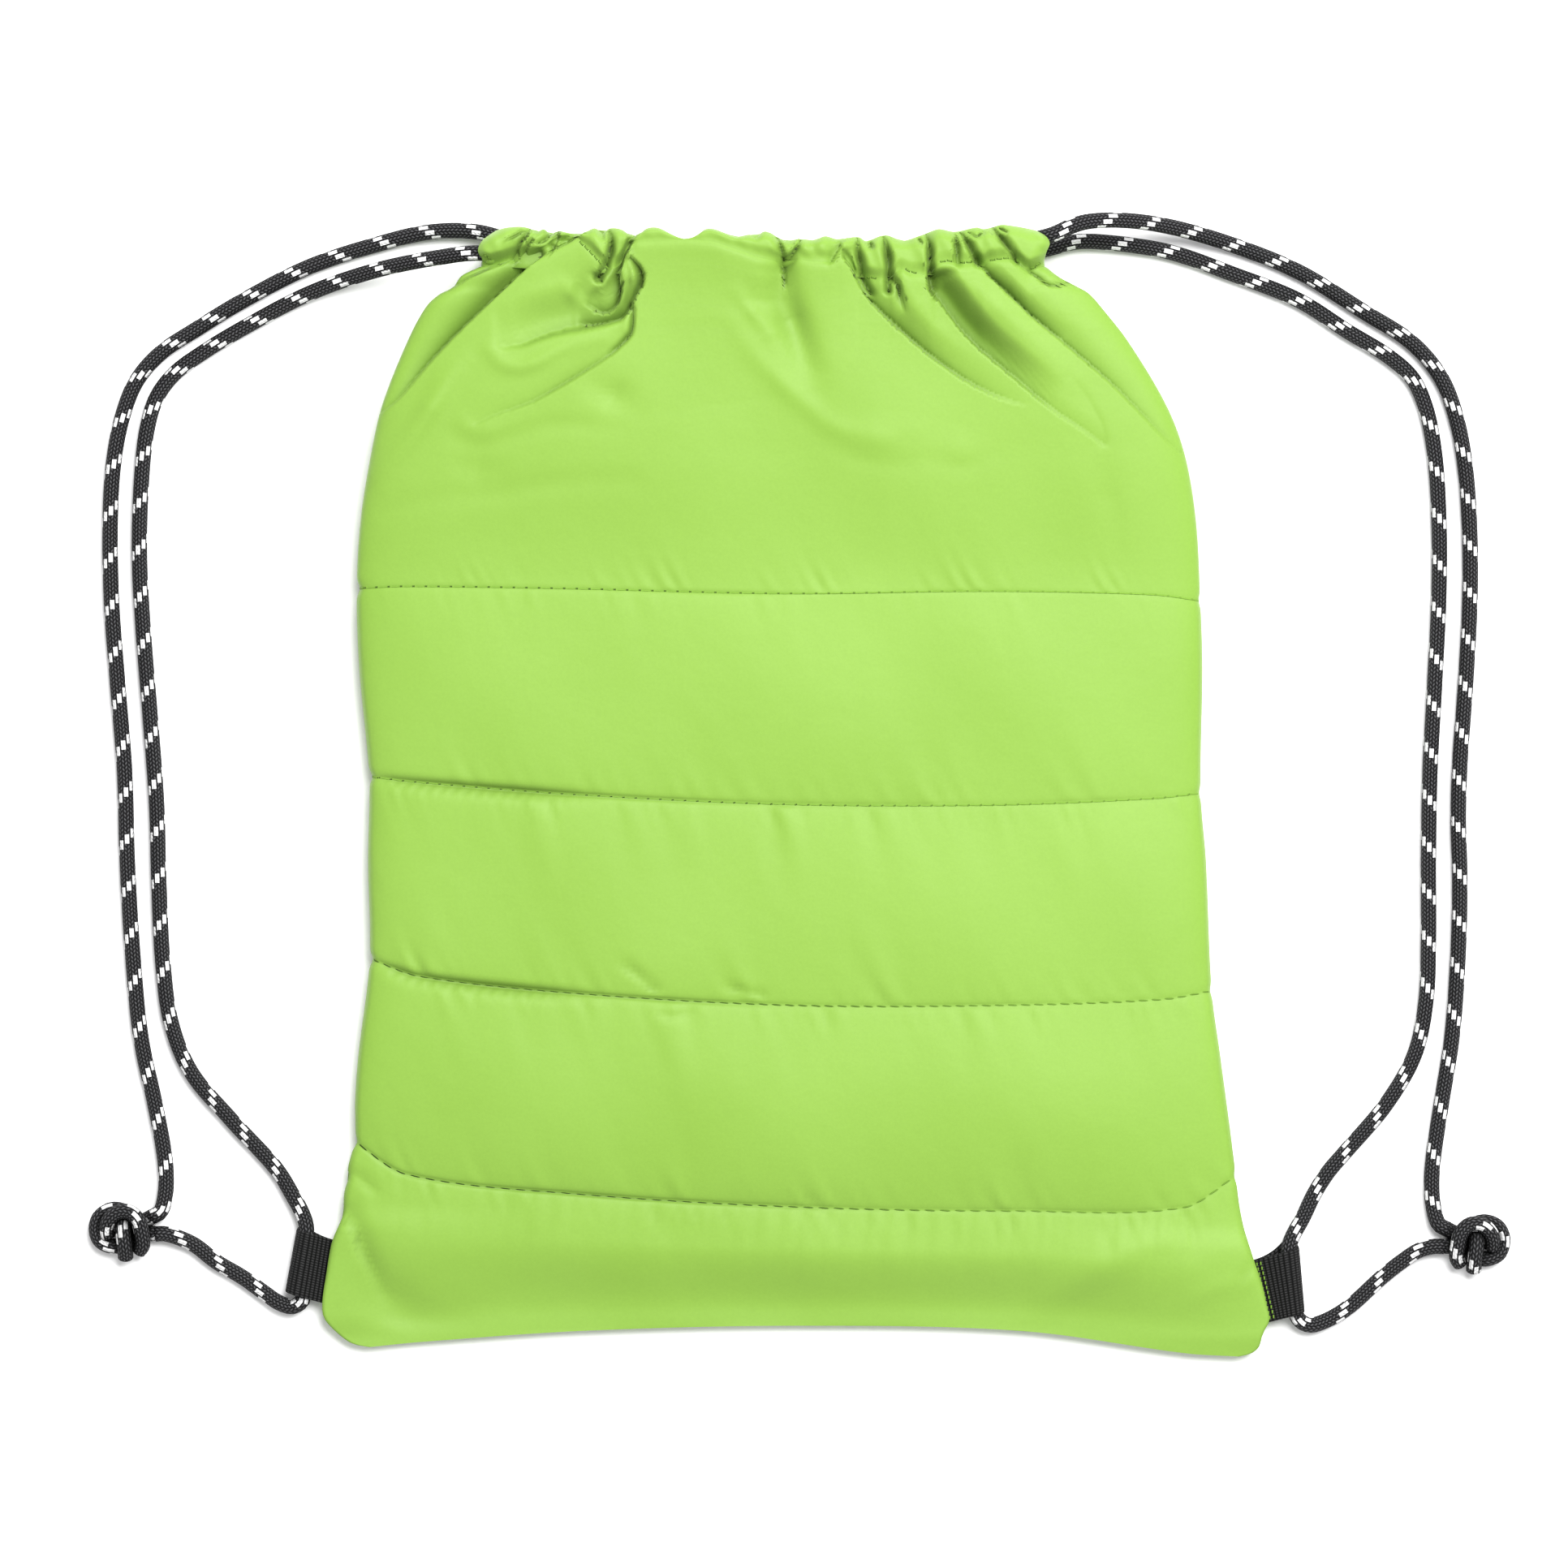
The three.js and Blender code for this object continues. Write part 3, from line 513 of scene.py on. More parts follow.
def throughTab(place):
    turn = radians(place["turn"])
    down = 1 if place["x"] < 0 else -1
    made = []
    for part, reach in zip(tab["cordAt"], place["cord"]):
        along = part * tab["width"] * down
        x = place["x"] + reach * cos(turn) - along * sin(turn)
        y = place["y"] + reach * sin(turn) + along * cos(turn)
        made.append((x, y, tabZ - tab["sag"]))
    return made


def atKnot(place, degrees):
    turn = radians(degrees)
    reach = cord["knotReach"]
    return [(place["x"] + r * cos(turn), place["y"] + r * sin(turn), cord["knotZ"]) for r in reach]


leftRoute = [
    *atKnot(leftKnot, leftKnot["outer"]),
    (-240.4, -153, 3.4), (-240.2, -145, 3.1), (-241, -137, 3.1), (-244.4, -118.9, 3.1),
    (-249.7, -94, 3.1), (-252.8, -63, 3.1), (-255, -26, 3.1), (-256, 8, 3.1), (-258.7, 42, 3.1),
    (-261, 73, 3.1), (-261.5, 104, 3.1), (-260.2, 126, 3.1), (-257, 143, 3.1), (-251.6, 157, 3.1),
    (-242.6, 167.6, 3.1), (-228.3, 177.2, 3.1), (-210.6, 188, 3.1), (-185.8, 200.7, 3.1),
    (-161, 209, 3.3), (-140, 214, 4.8), (-122, 214.2, 6),
    *throughCasing(1, -1, 1),
    (-120, 206, 26.5), (-137, 204.2, 21), (-161, 199.2, 12), (-185.8, 190.5, 4.6),
    (-210.6, 177.5, 3.1), (-225.5, 168.5, 3.1), (-237, 160, 3.1), (-243.8, 150.8, 3.1),
    (-247.5, 138.4, 3.1), (-249.7, 116.7, 3.1), (-250.3, 89, 3.1), (-248.8, 61, 3.1),
    (-246.3, 30, 3.1), (-243.8, -4, 3.1), (-242.9, -35, 3.1), (-241.3, -66, 3.1), (-238.2, -88, 3.1),
    (-230.8, -106.5, 3.1), (-215.3, -125, 3.1), (-198.1, -143.7, 3.1), (-192.4, -152.8, 3.5),
    (-187.6, -162, 4.8),
    *throughTab(tabs["left_tab"]),
    (-191.6, -196.3, 4.8), (-196.8, -195, 4), (-203, -190.8, 3.3), (-210.8, -185.2, 3.1),
    (-221, -179.2, 3.1), (-230, -172.4, 3.5),
    *reversed(atKnot(leftKnot, leftKnot["inner"])),
]
rightRoute = [
    *atKnot(rightKnot, rightKnot["outer"]),
    (243.8, -157.8, 3.4), (243.2, -149.6, 3.1), (243.8, -140, 3.1), (246.9, -118.9, 3.1),
    (250.9, -94, 3.1), (253.1, -66, 3.1), (254, -35, 3.1), (253.4, -10, 3.1), (254, 11, 3.1),
    (256.2, 42, 3.1), (257.8, 73, 3.1), (257.8, 98, 3.1), (256.2, 123, 3.1), (253.4, 140, 3.1),
    (249, 154, 3.1), (243.8, 163, 3.1), (234.8, 172.5, 3.1), (217.2, 183.7, 3.1), (192.4, 198.9, 3.1),
    (167.6, 209, 3.6), (142.8, 216.2, 11), (124.2, 218.6, 20), (111.4, 218, 24), (105.3, 216.2, 25.5),
    (98, 213, 26.5),
    *throughCasing(-1, 1, 1),
    (97, 207.8, 6), (108, 210.4, 5.4), (118, 210.2, 4.6), (142.8, 206.5, 3.3), (167.6, 197.9, 3.1),
    (192.4, 188, 3.1), (211, 176.2, 3.1), (227.1, 166.3, 3.1), (235.8, 158.3, 3.1), (241, 146.8, 3.1),
    (244.4, 129, 3.1), (246, 104, 3.1), (246, 76, 3.1), (244.4, 42, 3.1), (242.6, 8, 3.1),
    (242, -26, 3.1), (242, -57, 3.1), (241, -80, 3.1), (236.7, -100, 3.1), (225.8, -119, 3.1),
    (210, -137.5, 3.1), (203.6, -145, 3.1), (198.4, -153.2, 3.1), (194.4, -161.6, 3.6),
    *throughTab(tabs["right_tab"]),
    (193.8, -202.4, 4.8), (197.2, -203.4, 4.2), (201.6, -202.2, 3.5), (207.2, -199.4, 3.2),
    (213, -195.3, 3.1), (224.4, -184.9, 3.1), (232.2, -178.8, 3.2), (238, -175, 4),
    *reversed(atKnot(rightKnot, rightKnot["inner"])),
]


# A length of cord along a path; where endRound is given, its ends are rounded over.
def cordParts(path, endRound=0.0):
    sides = cord["sides"]
    ahead = np.gradient(path, axis=0)
    ahead /= np.linalg.norm(ahead, axis=1)[:, None]
    side = np.cross(ahead[0], (0.0, 0.0, 1.0))
    sideways = []
    for way in ahead:  # carried along without twist
        side = side - way * side.dot(way)
        side = side / np.linalg.norm(side)
        sideways.append(side)
    sideways = np.array(sideways)
    upright = np.cross(sideways, ahead)
    along = np.r_[0, np.cumsum(np.linalg.norm(np.diff(path, axis=0), axis=1))]
    fromEnd = np.minimum(along, along[-1] - along)
    size = np.full(len(path), cord["diameter"] / 2)
    if endRound:
        size *= np.sqrt(1 - (1 - np.clip(fromEnd / endRound, 0.02, 1)) ** 2)
    turn = 2 * pi * np.arange(sides) / sides
    across = sideways[:, None] * np.cos(turn)[None, :, None]
    spread = across + upright[:, None] * np.sin(turn)[None, :, None]
    points = (path[:, None] + spread * size[:, None, None]).reshape(-1, 3)
    quads, row, column = gridQuads(len(path), sides, roundColumns=True)
    places = np.stack([column / sides, along[row] * mm], -1).reshape(-1, 2)
    ends = [list(range(sides))[::-1], list(range(len(points) - sides, len(points)))]
    corners = np.vstack([places, np.zeros((2 * sides, 2))])
    return points, [*quads.tolist(), *ends], corners


# What lies below the camera's level looks nearer to the middle, so it is laid that much further out.
def spreadOut(points):
    p = np.array(points, float)
    x, y, z = shot["centre"]
    p[:, :2] += (p[:, :2] - (x, y)) * ((z - p[:, 2:]) / shot["distance"])
    return p


cordPieces = {}
for name, route, material in (("left", leftRoute, leftBraid), ("right", rightRoute, rightBraid)):
    line = smoothPath(spreadOut(route), cord["step"])
    made = makeMesh(f"{name}_cord_braid", cordParts(line), material)
    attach(made, "root")
    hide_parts(f"{name}_cord")
    cordPieces[name] = (made, line)
    print(f"{name} cord {lengthOf(line):.0f} mm")

# Each knot: the two strands that come in, wound into an overhand knot with a short tail. Places are
# offsets from the knot's middle for the left one; the right one is its mirror image.
knotStrands = [
    [
        (2.0, 8.6, 3.4), (-2.6, 9.4, 4.0), (-7.2, 7.4, 4.4), (-9.2, 2.6, 4.4), (-7.8, -2.4, 4.6),
        (-3.4, -4.6, 4.8), (1.0, -4.2, 4.2), (5.0, -2.0, 3.6),
    ],
    [
        (-4.6, -1.6, 5.4), (-5.3, 1.6, 7.0), (-4.4, 5.2, 8.6), (-1.0, 8.2, 9.6), (3.2, 8.4, 10.0),
        (6.6, 5.3, 10.0), (8.0, 0.4, 9.4), (8.4, -4.0, 7.6), (6.8, -7.0, 5.0),
    ],
    [
        (2.6, 5.6, 5.0), (1.0, 3.6, 7.6), (1.0, 0.4, 9.0), (1.5, -4.0, 8.6), (1.9, -7.6, 6.4),
        (2.0, -9.6, 5.0),
    ],
    [(13.4, 7.3, 4.6), (9.0, 5.0, 3.8), (5.0, 3.5, 3.4), (0.0, 2.5, 3.4)],
    [(14.0, 0.3, 4.6), (9.0, 0.0, 3.6), (4.0, -0.5, 3.3)],
]
knots = [("left", leftKnot, 1, leftBraid), ("right", rightKnot, -1, rightBraid)]
for name, place, mirror, material in knots:
    strands = []
    for strand in knotStrands:
        moved = [(place["x"] + mirror * a, place["y"] + b, c) for a, b, c in strand]
        strands.append(cordParts(smoothPath(spreadOut(moved), cord["knotStep"]), cord["knotRound"]))
    knot = makeMesh(f"{name}_knot_strands", joinParts(strands), material)
    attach(knot, "root")
    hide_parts(f"{name}_knot")

print("cords and knots made")

# Tucks: creases where the cloth rolls down into a line. drop is how deep each goes at its start, two
# fifths along and at its end, wide how far the roll reaches on the side named, to the left or right of
# the line's way, floor how far it stays flat there first, and lip the reach on the other side.
alongFold = (0, 0.4, 1)
tucks = [
    # left of the dome: the long edge, the swirl, and the line that leaves it
    {"path": [(-80.5, 213), (-85.6, 209.6), (-92, 206.6), (-100, 201.4), (-110, 192.4), (-120, 183),
              (-130, 173.4), (-140, 162.8), (-150, 151.4), (-157.5, 145)],
     "drop": (6, 11, 1.8), "wide": 15, "lip": 0.7, "side": "right"},
    {"path": [(-110, 201.4), (-114.4, 200.2), (-122.1, 196.8), (-130.6, 192.3)],
     "drop": (1.6, 2.6, 2.2), "wide": 5, "lip": 0.7, "side": "right"},
    {"path": [(-62.4, 203.2), (-59, 199.5), (-57.7, 196), (-58.2, 193.2), (-60.2, 189.6),
              (-61.8, 186.4), (-64, 182.2), (-66.5, 180), (-70, 178.8), (-80, 177.2)],
     "drop": (3, 8, 4), "wide": 7.5, "lip": 0.7, "side": "right"},
    {"path": [(-66.5, 180), (-72, 178.6), (-80, 177.2), (-90, 175.4), (-98, 172.8), (-104, 170.4),
              (-111, 169.4)],
     "drop": (2, 5.4, 1), "wide": 18, "floor": 4.5, "lip": 2.5, "side": "right"},
    {"path": [(-60.2, 212.4), (-62, 209), (-64.6, 204), (-66, 200), (-66.8, 197), (-66.2, 191),
              (-67.2, 186.5), (-70, 183.4), (-73.5, 182.6), (-78, 184.8)],
     "drop": (3, 8, 2), "wide": 10, "lip": 0.7, "side": "right"},
    {"path": [(-61.6, 185), (-61.3, 179.5), (-62, 175), (-64, 172), (-66, 170), (-70, 166.6)],
     "drop": (2.2, 4, 0.8), "wide": 2.6, "lip": 0.7, "side": "right"},
    {"path": [(-64, 172), (-70, 166.6), (-80, 160), (-90, 154), (-100, 148.6), (-107, 146),
              (-113, 144), (-122, 140)],
     "drop": (1.2, 1.7, 0.4), "wide": 8, "lip": 0.7, "side": "right"},
    # the deep pinch right of the dome
    {"path": [(-4.3, 203), (-4.4, 199.4), (-4.1, 195), (-3.6, 190.5)],
     "drop": (3, 3, 0.3), "wide": 6, "lip": 0.9, "side": "left"},
    {"path": [(-4.3, 203), (-4.4, 199.4), (-4.1, 195), (-3.8, 191)],
     "drop": (1.5, 1.5, 0.3), "wide": 5, "lip": 0.9, "side": "right"},
    # right: the long edges and the deep valley between two of them
    {"path": [(18.6, 203.2), (21, 200.4), (23, 196.5), (26, 190.5), (30, 185.5), (35, 180.6),
              (40, 176), (45, 171.6), (50, 167.4), (60, 160), (70, 154), (80, 149.6), (87, 147.6)],
     "drop": (4, 4.4, 0.2), "wide": 10, "lip": 0.7, "side": "left"},
    {"path": [(50.8, 195), (52, 190.6), (55, 187), (60, 180), (65, 174), (70, 169), (80, 160.6),
              (90, 152.2), (95, 148)],
     "drop": (7.5, 7.5, 0.5), "wide": 12, "floor": 2.6, "lip": 0.7, "side": "left"},
    {"path": [(60, 180), (65, 174), (70, 169), (80, 160.6), (90, 152.2), (100, 144.4), (110, 137.8),
              (117, 132.6)],
     "drop": (0.3, 1.2, 0.6), "wide": 6, "lip": 0.7, "side": "left"},
    {"path": [(117.6, 132.6), (117.4, 138), (114, 145.4), (110, 152), (104, 159)],
     "drop": (0.3, 0.4, 0.1), "wide": 8, "lip": 3, "side": "left"},
    {"path": [(68.4, 201.6), (71.6, 199), (75, 195.4), (80, 190.6), (85, 186), (90, 181.2), (100, 173)],
     "drop": (4, 5.5, 0.6), "wide": 6, "lip": 0.7, "side": "left"},
    {"path": [(75, 195.4), (85, 186), (90, 181.2), (100, 173), (110, 164.6), (120, 156), (130, 146.2),
              (140, 136), (147, 129.6)],
     "drop": (0.6, 3.2, 1.2), "wide": 15, "lip": 0.7, "side": "left"},
    {"path": [(83.8, 202.2), (88.4, 198.4), (92, 196), (97, 192.6), (104, 194)],
     "drop": (3.4, 3, 2), "wide": 4, "lip": 0.7, "side": "left"},
    # creases of the casing, from its left end to its right
    {"path": [(-120.4, 204), (-117.6, 203.4), (-115.6, 202)],
     "drop": (2.6, 2, 0.6), "wide": 2.2, "lip": 1.4, "side": "left"},
    {"path": [(-109.4, 209.5), (-106.2, 211.2), (-103.6, 212.8)],
     "drop": (0.8, 2.2, 1.4), "wide": 2.8, "lip": 1.2, "side": "right"},
    {"path": [(-100.4, 214.5), (-102.6, 210.9), (-104.9, 207.6), (-105.8, 203)],
     "drop": (1.6, 5, 5), "wide": 6.5, "lip": 1.2, "side": "right"},
    {"path": [(-91.8, 213), (-95.8, 209.3), (-98.8, 208.4)],
     "drop": (2.6, 3, 0.8), "wide": 3, "lip": 1.6, "side": "right"},
    {"path": [(-99.6, 211), (-101.9, 206.9), (-102.9, 203)],
     "drop": (0.8, 3, 3.2), "wide": 2.4, "lip": 1.2, "side": "right"},
    {"path": [(-90, 213.8), (-90.4, 209.7), (-91.8, 206.2)],
     "drop": (2.4, 4.6, 4), "wide": 4.4, "lip": 1.2, "side": "right"},
    {"path": [(-89.6, 208), (-85.2, 210.2), (-81.4, 213.2)],
     "drop": (3, 4, 2.6), "wide": 3.6, "lip": 1.2, "side": "left"},
    {"path": [(-73.2, 213.6), (-72.8, 209)],
     "drop": (1.6, 1, 0), "wide": 3, "lip": 3, "side": "left"},
    {"path": [(-70.8, 213.8), (-69.9, 209.7), (-70.6, 204), (-71.9, 200.1), (-73.6, 197.4),
              (-75.4, 195.6)],
     "drop": (3, 6.5, 6), "wide": 3.2, "lip": 2.0, "side": "left"},
    {"path": [(-76.6, 197), (-73.9, 195.4), (-73.8, 192)],
     "drop": (1.6, 2, 0.4), "wide": 3.4, "lip": 2.2, "side": "right"},
    {"path": [(-6.6, 210.8), (-5.4, 207.4), (-4.5, 203.4), (-4.3, 199.5)],
     "drop": (2, 4, 1.2), "wide": 3.4, "lip": 1.4, "side": "right"},
    {"path": [(2.4, 210.2), (1, 207.6), (-1.6, 203.4), (-3.9, 198.8)],
     "drop": (1.4, 4, 1.2), "wide": 3, "lip": 1.4, "side": "left"},
    {"path": [(17.8, 211.2), (16.6, 207), (14.2, 202)],
     "drop": (0.9, 2.8, 2.4), "wide": 7, "lip": 1.6, "side": "right"},
    {"path": [(23.6, 211.4), (23.9, 206), (25, 200), (25.4, 196), (27, 192.4), (28.8, 189.6)],
     "drop": (2, 6, 3), "wide": 3, "lip": 2.4, "side": "left"},
    {"path": [(28.6, 208.4), (29.3, 207)],
     "drop": (3.4, 3.4, 3.4), "wide": 1.6, "lip": 1.6, "side": "left"},
    {"path": [(33.4, 211.6), (34.8, 206.4), (35.6, 201.5), (35.5, 196), (35.7, 190.4)],
     "drop": (2, 7, 5), "wide": 3, "lip": 2.6, "side": "right"},
    {"path": [(36.4, 196), (38.7, 193.1), (39.9, 188.4), (41.4, 183)],
     "drop": (4, 4.4, 0.5), "wide": 3.2, "lip": 2.2, "side": "right"},
    {"path": [(47.2, 210), (48.1, 208.6)],
     "drop": (3.4, 3.4, 3.4), "wide": 1.7, "lip": 1.7, "side": "left"},
    {"path": [(49.6, 212.8), (51.1, 206.5), (51.2, 201.8), (51.5, 196.3), (51.9, 191.4)],
     "drop": (2, 6.5, 6), "wide": 2.8, "lip": 2.2, "side": "left"},
    {"path": [(61, 212.8), (61.4, 205.7), (61.8, 200.8)],
     "drop": (1.4, 5, 3), "wide": 2.6, "lip": 1.8, "side": "left"},
    {"path": [(62.4, 213.2), (65.8, 208.1), (67.3, 205), (69, 200.8)],
     "drop": (1.6, 6, 5), "wide": 3.4, "lip": 2.0, "side": "left"},
    {"path": [(66, 212.8), (68.9, 210.9), (71.2, 212.8)],
     "drop": (1.8, 2.2, 1.4), "wide": 2.2, "lip": 1.4, "side": "left"},
    {"path": [(74.6, 215.2), (79.2, 209.3), (81.6, 206.1), (84, 202)],
     "drop": (1.8, 6, 5), "wide": 3.4, "lip": 2.0, "side": "left"},
    {"path": [(78, 214.2), (80.2, 212.9)],
     "drop": (2.8, 3.2, 2.6), "wide": 1.7, "lip": 1.5, "side": "left"},
    # the lower left corner and the left edge
    {"path": [(-172.4, -161), (-168.5, -166.4), (-165.6, -175.1), (-161.9, -183.4), (-157.7, -194.1)],
     "drop": (5, 5, 1), "wide": 8, "lip": 2.4, "side": "left"},
    {"path": [(-171, -144.6), (-165.4, -148.6), (-159, -153.4)],
     "drop": (4, 3.4, 0.4), "wide": 6, "lip": 3, "side": "left"},
    # puckers along the second seam, beside the right tab and at the left edge
    {"path": [(-67.4, -64.6), (-60, -70), (-54.1, -75.6)],
     "drop": (0.3, 1.8, 1.4), "wide": 5, "lip": 1.6, "side": "left"},
    {"path": [(-27, -73.6), (-20, -75.8), (-13, -77.8)],
     "drop": (0.3, 1.2, 0.8), "wide": 4, "lip": 1.6, "side": "left"},
    {"path": [(-52, -84.6), (-46, -85.6), (-40, -83.8)],
     "drop": (0.4, 1.1, 0.3), "wide": 3, "lip": 2, "side": "left"},
    {"path": [(175.6, -180.6), (171.6, -185.6), (167.4, -190)],
     "drop": (4, 2.6, 0.2), "wide": 3, "lip": 1.4, "side": "right"},
    {"path": [(-163.2, -24.6), (-160.6, -33), (-157.6, -42)],
     "drop": (1.2, 1.2, 0.1), "wide": 4, "lip": 1.6, "side": "right"},
]

# Ridges and hollows: rounded ones along a curve, out by height, or in where it is negative.
ridges = [
    {"path": [(-63, 203.5), (-61.4, 197), (-61, 192), (-61.6, 187), (-62.6, 183.6)],
     "height": (1.6, 3.4, 0.6), "wide": 1.5},
    {"path": [(-64.4, 205), (-64.8, 197), (-64.6, 190), (-66.6, 185.2)],
     "height": (0.8, 1.6, 0.4), "wide": 2.0},
    {"path": [(-88, 194), (-86, 190.4), (-83, 187.8), (-79, 186)],
     "height": (0.3, 0.9, 0.4), "wide": 2.6},
    {"path": [(-80, 190), (-76, 192.2), (-72, 194.8), (-69, 198.4)],
     "height": (0.2, 1.2, 0.8), "wide": 1.8},
    {"path": [(-85, 193), (-80, 191.4), (-75, 190)], "height": (-1.5, -2.8, -3), "wide": 7},
    {"path": [(-116, 168), (-112, 163.8), (-107, 162), (-100, 163), (-92, 167), (-84, 170.6),
              (-74, 173)],
     "height": (0.5, 1.3, 0.4), "wide": 3.2},
    {"path": [(-126, 164), (-131, 158.5), (-136, 151), (-141, 143), (-146, 136), (-152, 129),
              (-160, 121)],
     "height": (0.4, 2.6, 1.2), "wide": 4.5},
    {"path": [(-127, 141), (-121, 137.4), (-112, 138.6), (-102, 142)],
     "height": (0.2, 0.6, 0.1), "wide": 4},
    {"path": [(-66, 138.4), (-80, 139.6), (-90, 140), (-100, 138), (-110, 135), (-120, 132.5),
              (-129, 135)],
     "height": (-0.2, -0.5, -0.3), "wide": 4},
    {"path": [(-62, 118.6), (-85, 118.2), (-100, 116.4), (-112, 113.9), (-125, 113.4), (-140, 111.4),
              (-156, 107)],
     "height": (-0.2, -0.45, -0.3), "wide": 4.5},
    {"path": [(12, 133), (22, 127.6), (32, 125), (42, 124.6), (52, 126)],
     "height": (-0.1, -0.3, -0.1), "wide": 4},
    {"path": [(54, 127), (60, 125), (67, 124.6), (75, 129)], "height": (-0.1, -0.3, -0.1), "wide": 4},
    {"path": [(115, 128), (118, 120), (120, 111), (121.5, 100), (121.5, 88)],
     "height": (-0.2, -0.7, -0.3), "wide": 6},
    {"path": [(-74, 153.5), (-67, 150), (-62, 146)], "height": (-0.7, -1.5, -0.4), "wide": 6},
    {"path": [(-124, 124), (-115, 121.5)], "height": (-0.6, -0.8, -0.4), "wide": 6},
    {"path": [(-30.8, 203), (-30.8, 172.5), (-27.7, 147.7)], "height": (1.6, 2.0, 0.6), "wide": 26},
    {"path": [(-23, 178), (-15, 165.6), (-6, 156.6), (4, 147.4), (12, 140.6), (22, 136.4), (34, 134)],
     "height": (0.2, 0.7, 0.3), "wide": 4},
    {"path": [(20, 136), (32, 135), (44, 135)], "height": (0.3, 0.6, 0.3), "wide": 8},
    {"path": [(56, 131), (64, 130), (70, 130)], "height": (0.2, 0.5, 0.2), "wide": 6},
    {"path": [(-22, 190), (-14, 180), (-7, 172)], "height": (0.3, 0.9, 0.1), "wide": 3},
    {"path": [(-12, 196), (-13, 185), (-9, 174)], "height": (-0.6, -1.6, -0.2), "wide": 8},
    {"path": [(-5, 197), (-4.2, 189), (-2.2, 182), (1, 173), (4, 164), (8, 155)],
     "height": (-2.6, -4.6, -0.5), "wide": 6},
    {"path": [(40, 196), (44.6, 188), (50, 179), (58, 170)], "height": (1.6, 1.8, 0.3), "wide": 5},
    {"path": [(57, 199), (66, 192.5), (78, 182.6), (92, 170), (104, 158)],
     "height": (1.4, 2.4, 0.4), "wide": 6},
    {"path": [(84, 199), (96, 187), (110, 174), (122, 160)], "height": (0.6, 1.0, 0.3), "wide": 6},
    {"path": [(99.4, 197.3), (108.7, 193.6), (118.6, 184.9), (127.9, 173.8), (136.6, 159.5),
              (144.3, 144)],
     "height": (0.9, 1.4, 0.5), "wide": 2.2},
    {"path": [(-166, -177), (-157, -192), (-146, -201.5), (-120, -205)],
     "height": (-1.6, -3, -0.4), "wide": 9},
    {"path": [(172.2, -187.1), (160, -190), (148, -197)], "height": (1.0, 0.8, 0.1), "wide": 3},
    {"path": [(140, -170), (112, -184), (88, -200)], "height": (1.2, 1.6, 0.2), "wide": 7},
]


# snap is how near a place has to be to a crease to be moved onto it, crisp the widest lip of such a
# crease, deepest how far down folds may go together, and soft how gently they stop there.
folding = {"step": 0.8, "snap": 0.4, "search": 4, "crisp": 2.6, "ridgeReach": 2.6, "deepest": 7, "soft": 3}


# For places near a curve: which they are, how far to its left, how far past its ends, how far along it
# (0 to 1), and the way to its left there
def nearCurve(path, reach, x, y):
    line = smoothPath(path, folding["step"])
    way = np.gradient(line, axis=0)
    way /= np.linalg.norm(way, axis=1)[:, None]
    low, high = line.min(0) - reach, line.max(0) + reach
    near = np.flatnonzero((x > low[0]) & (x < high[0]) & (y > low[1]) & (y < high[1]))
    here = np.column_stack([x[near], y[near]])
    best = np.full(len(here), np.inf)
    nearest = np.zeros(len(here), int)
    for i, place in enumerate(line):
        far = (here[:, 0] - place[0]) ** 2 + (here[:, 1] - place[1]) ** 2
        closer = far < best
        best[closer] = far[closer]
        nearest[closer] = i
    off = here - line[nearest]
    toLeft = np.column_stack([-way[nearest, 1], way[nearest, 0]])
    aside = (off * toLeft).sum(1)
    past = np.abs((off * way[nearest]).sum(1)) * ((nearest == 0) | (nearest == len(line) - 1))
    return near, aside, past, nearest / (len(line) - 1), toLeft


# Moves the places nearest to each crisp crease onto it, and those nearest to the top of its wall onto
# that, so that the grid follows both lines.
def snapToTucks(x, y):
    shape = x.shape
    x, y = x.ravel().copy(), y.ravel().copy()
    for tuck in tucks:
        if tuck["lip"] > folding["crisp"]:
            continue
        top = tuck["lip"] if tuck["side"] == "right" else -tuck["lip"]
        for line in (0, top):
            near, aside, past, _, toLeft = nearCurve(tuck["path"], folding["search"], x, y)
            off = aside - line
            close = (np.abs(off) < folding["snap"]) & (past < folding["snap"])
            x[near[close]] -= (off[:, None] * toLeft)[close, 0]
            y[near[close]] -= (off[:, None] * toLeft)[close, 1]
    return x.reshape(shape), y.reshape(shape)


# How far all the tucks and ridges together move the cloth up or down.
def foldsAt(x, y):
    shape = x.shape
    x, y = x.ravel(), y.ravel()
    total = np.zeros_like(x)
    for tuck in tucks:
        near, aside, past, part, _ = nearCurve(tuck["path"], max(tuck["wide"], tuck["lip"]) + 1, x, y)
        rolled = (aside > 0) == (tuck["side"] == "left")
        wide = np.where(rolled, tuck["wide"], tuck["lip"])
        floor = np.where(rolled, tuck.get("floor", 0), 0)
        inside = np.clip((wide - np.hypot(aside, past)) / (wide - floor), 0, 1)
        drop = np.interp(part, alongFold, tuck["drop"]) * np.exp(-((past / 2) ** 2))
        rounded = blend(inside**1.5, 1 - np.sqrt(1 - inside**2), 0.4)
        total[near] -= drop * np.where(floor > 0, smoothstep(0, 1, inside), rounded)
    for ridge in ridges:
        near, aside, past, part, _ = nearCurve(ridge["path"], folding["ridgeReach"] * ridge["wide"], x, y)
        height = np.interp(part, alongFold, ridge["height"])
        total[near] += height * np.exp(-((np.hypot(aside, past) / ridge["wide"]) ** 2))
    over = np.minimum(0, total + folding["deepest"])  # no fold reaches what lies underneath
    total = np.maximum(total, -folding["deepest"])
    total += folding["soft"] * (np.exp(over / folding["soft"]) - 1)
    return total.reshape(shape)


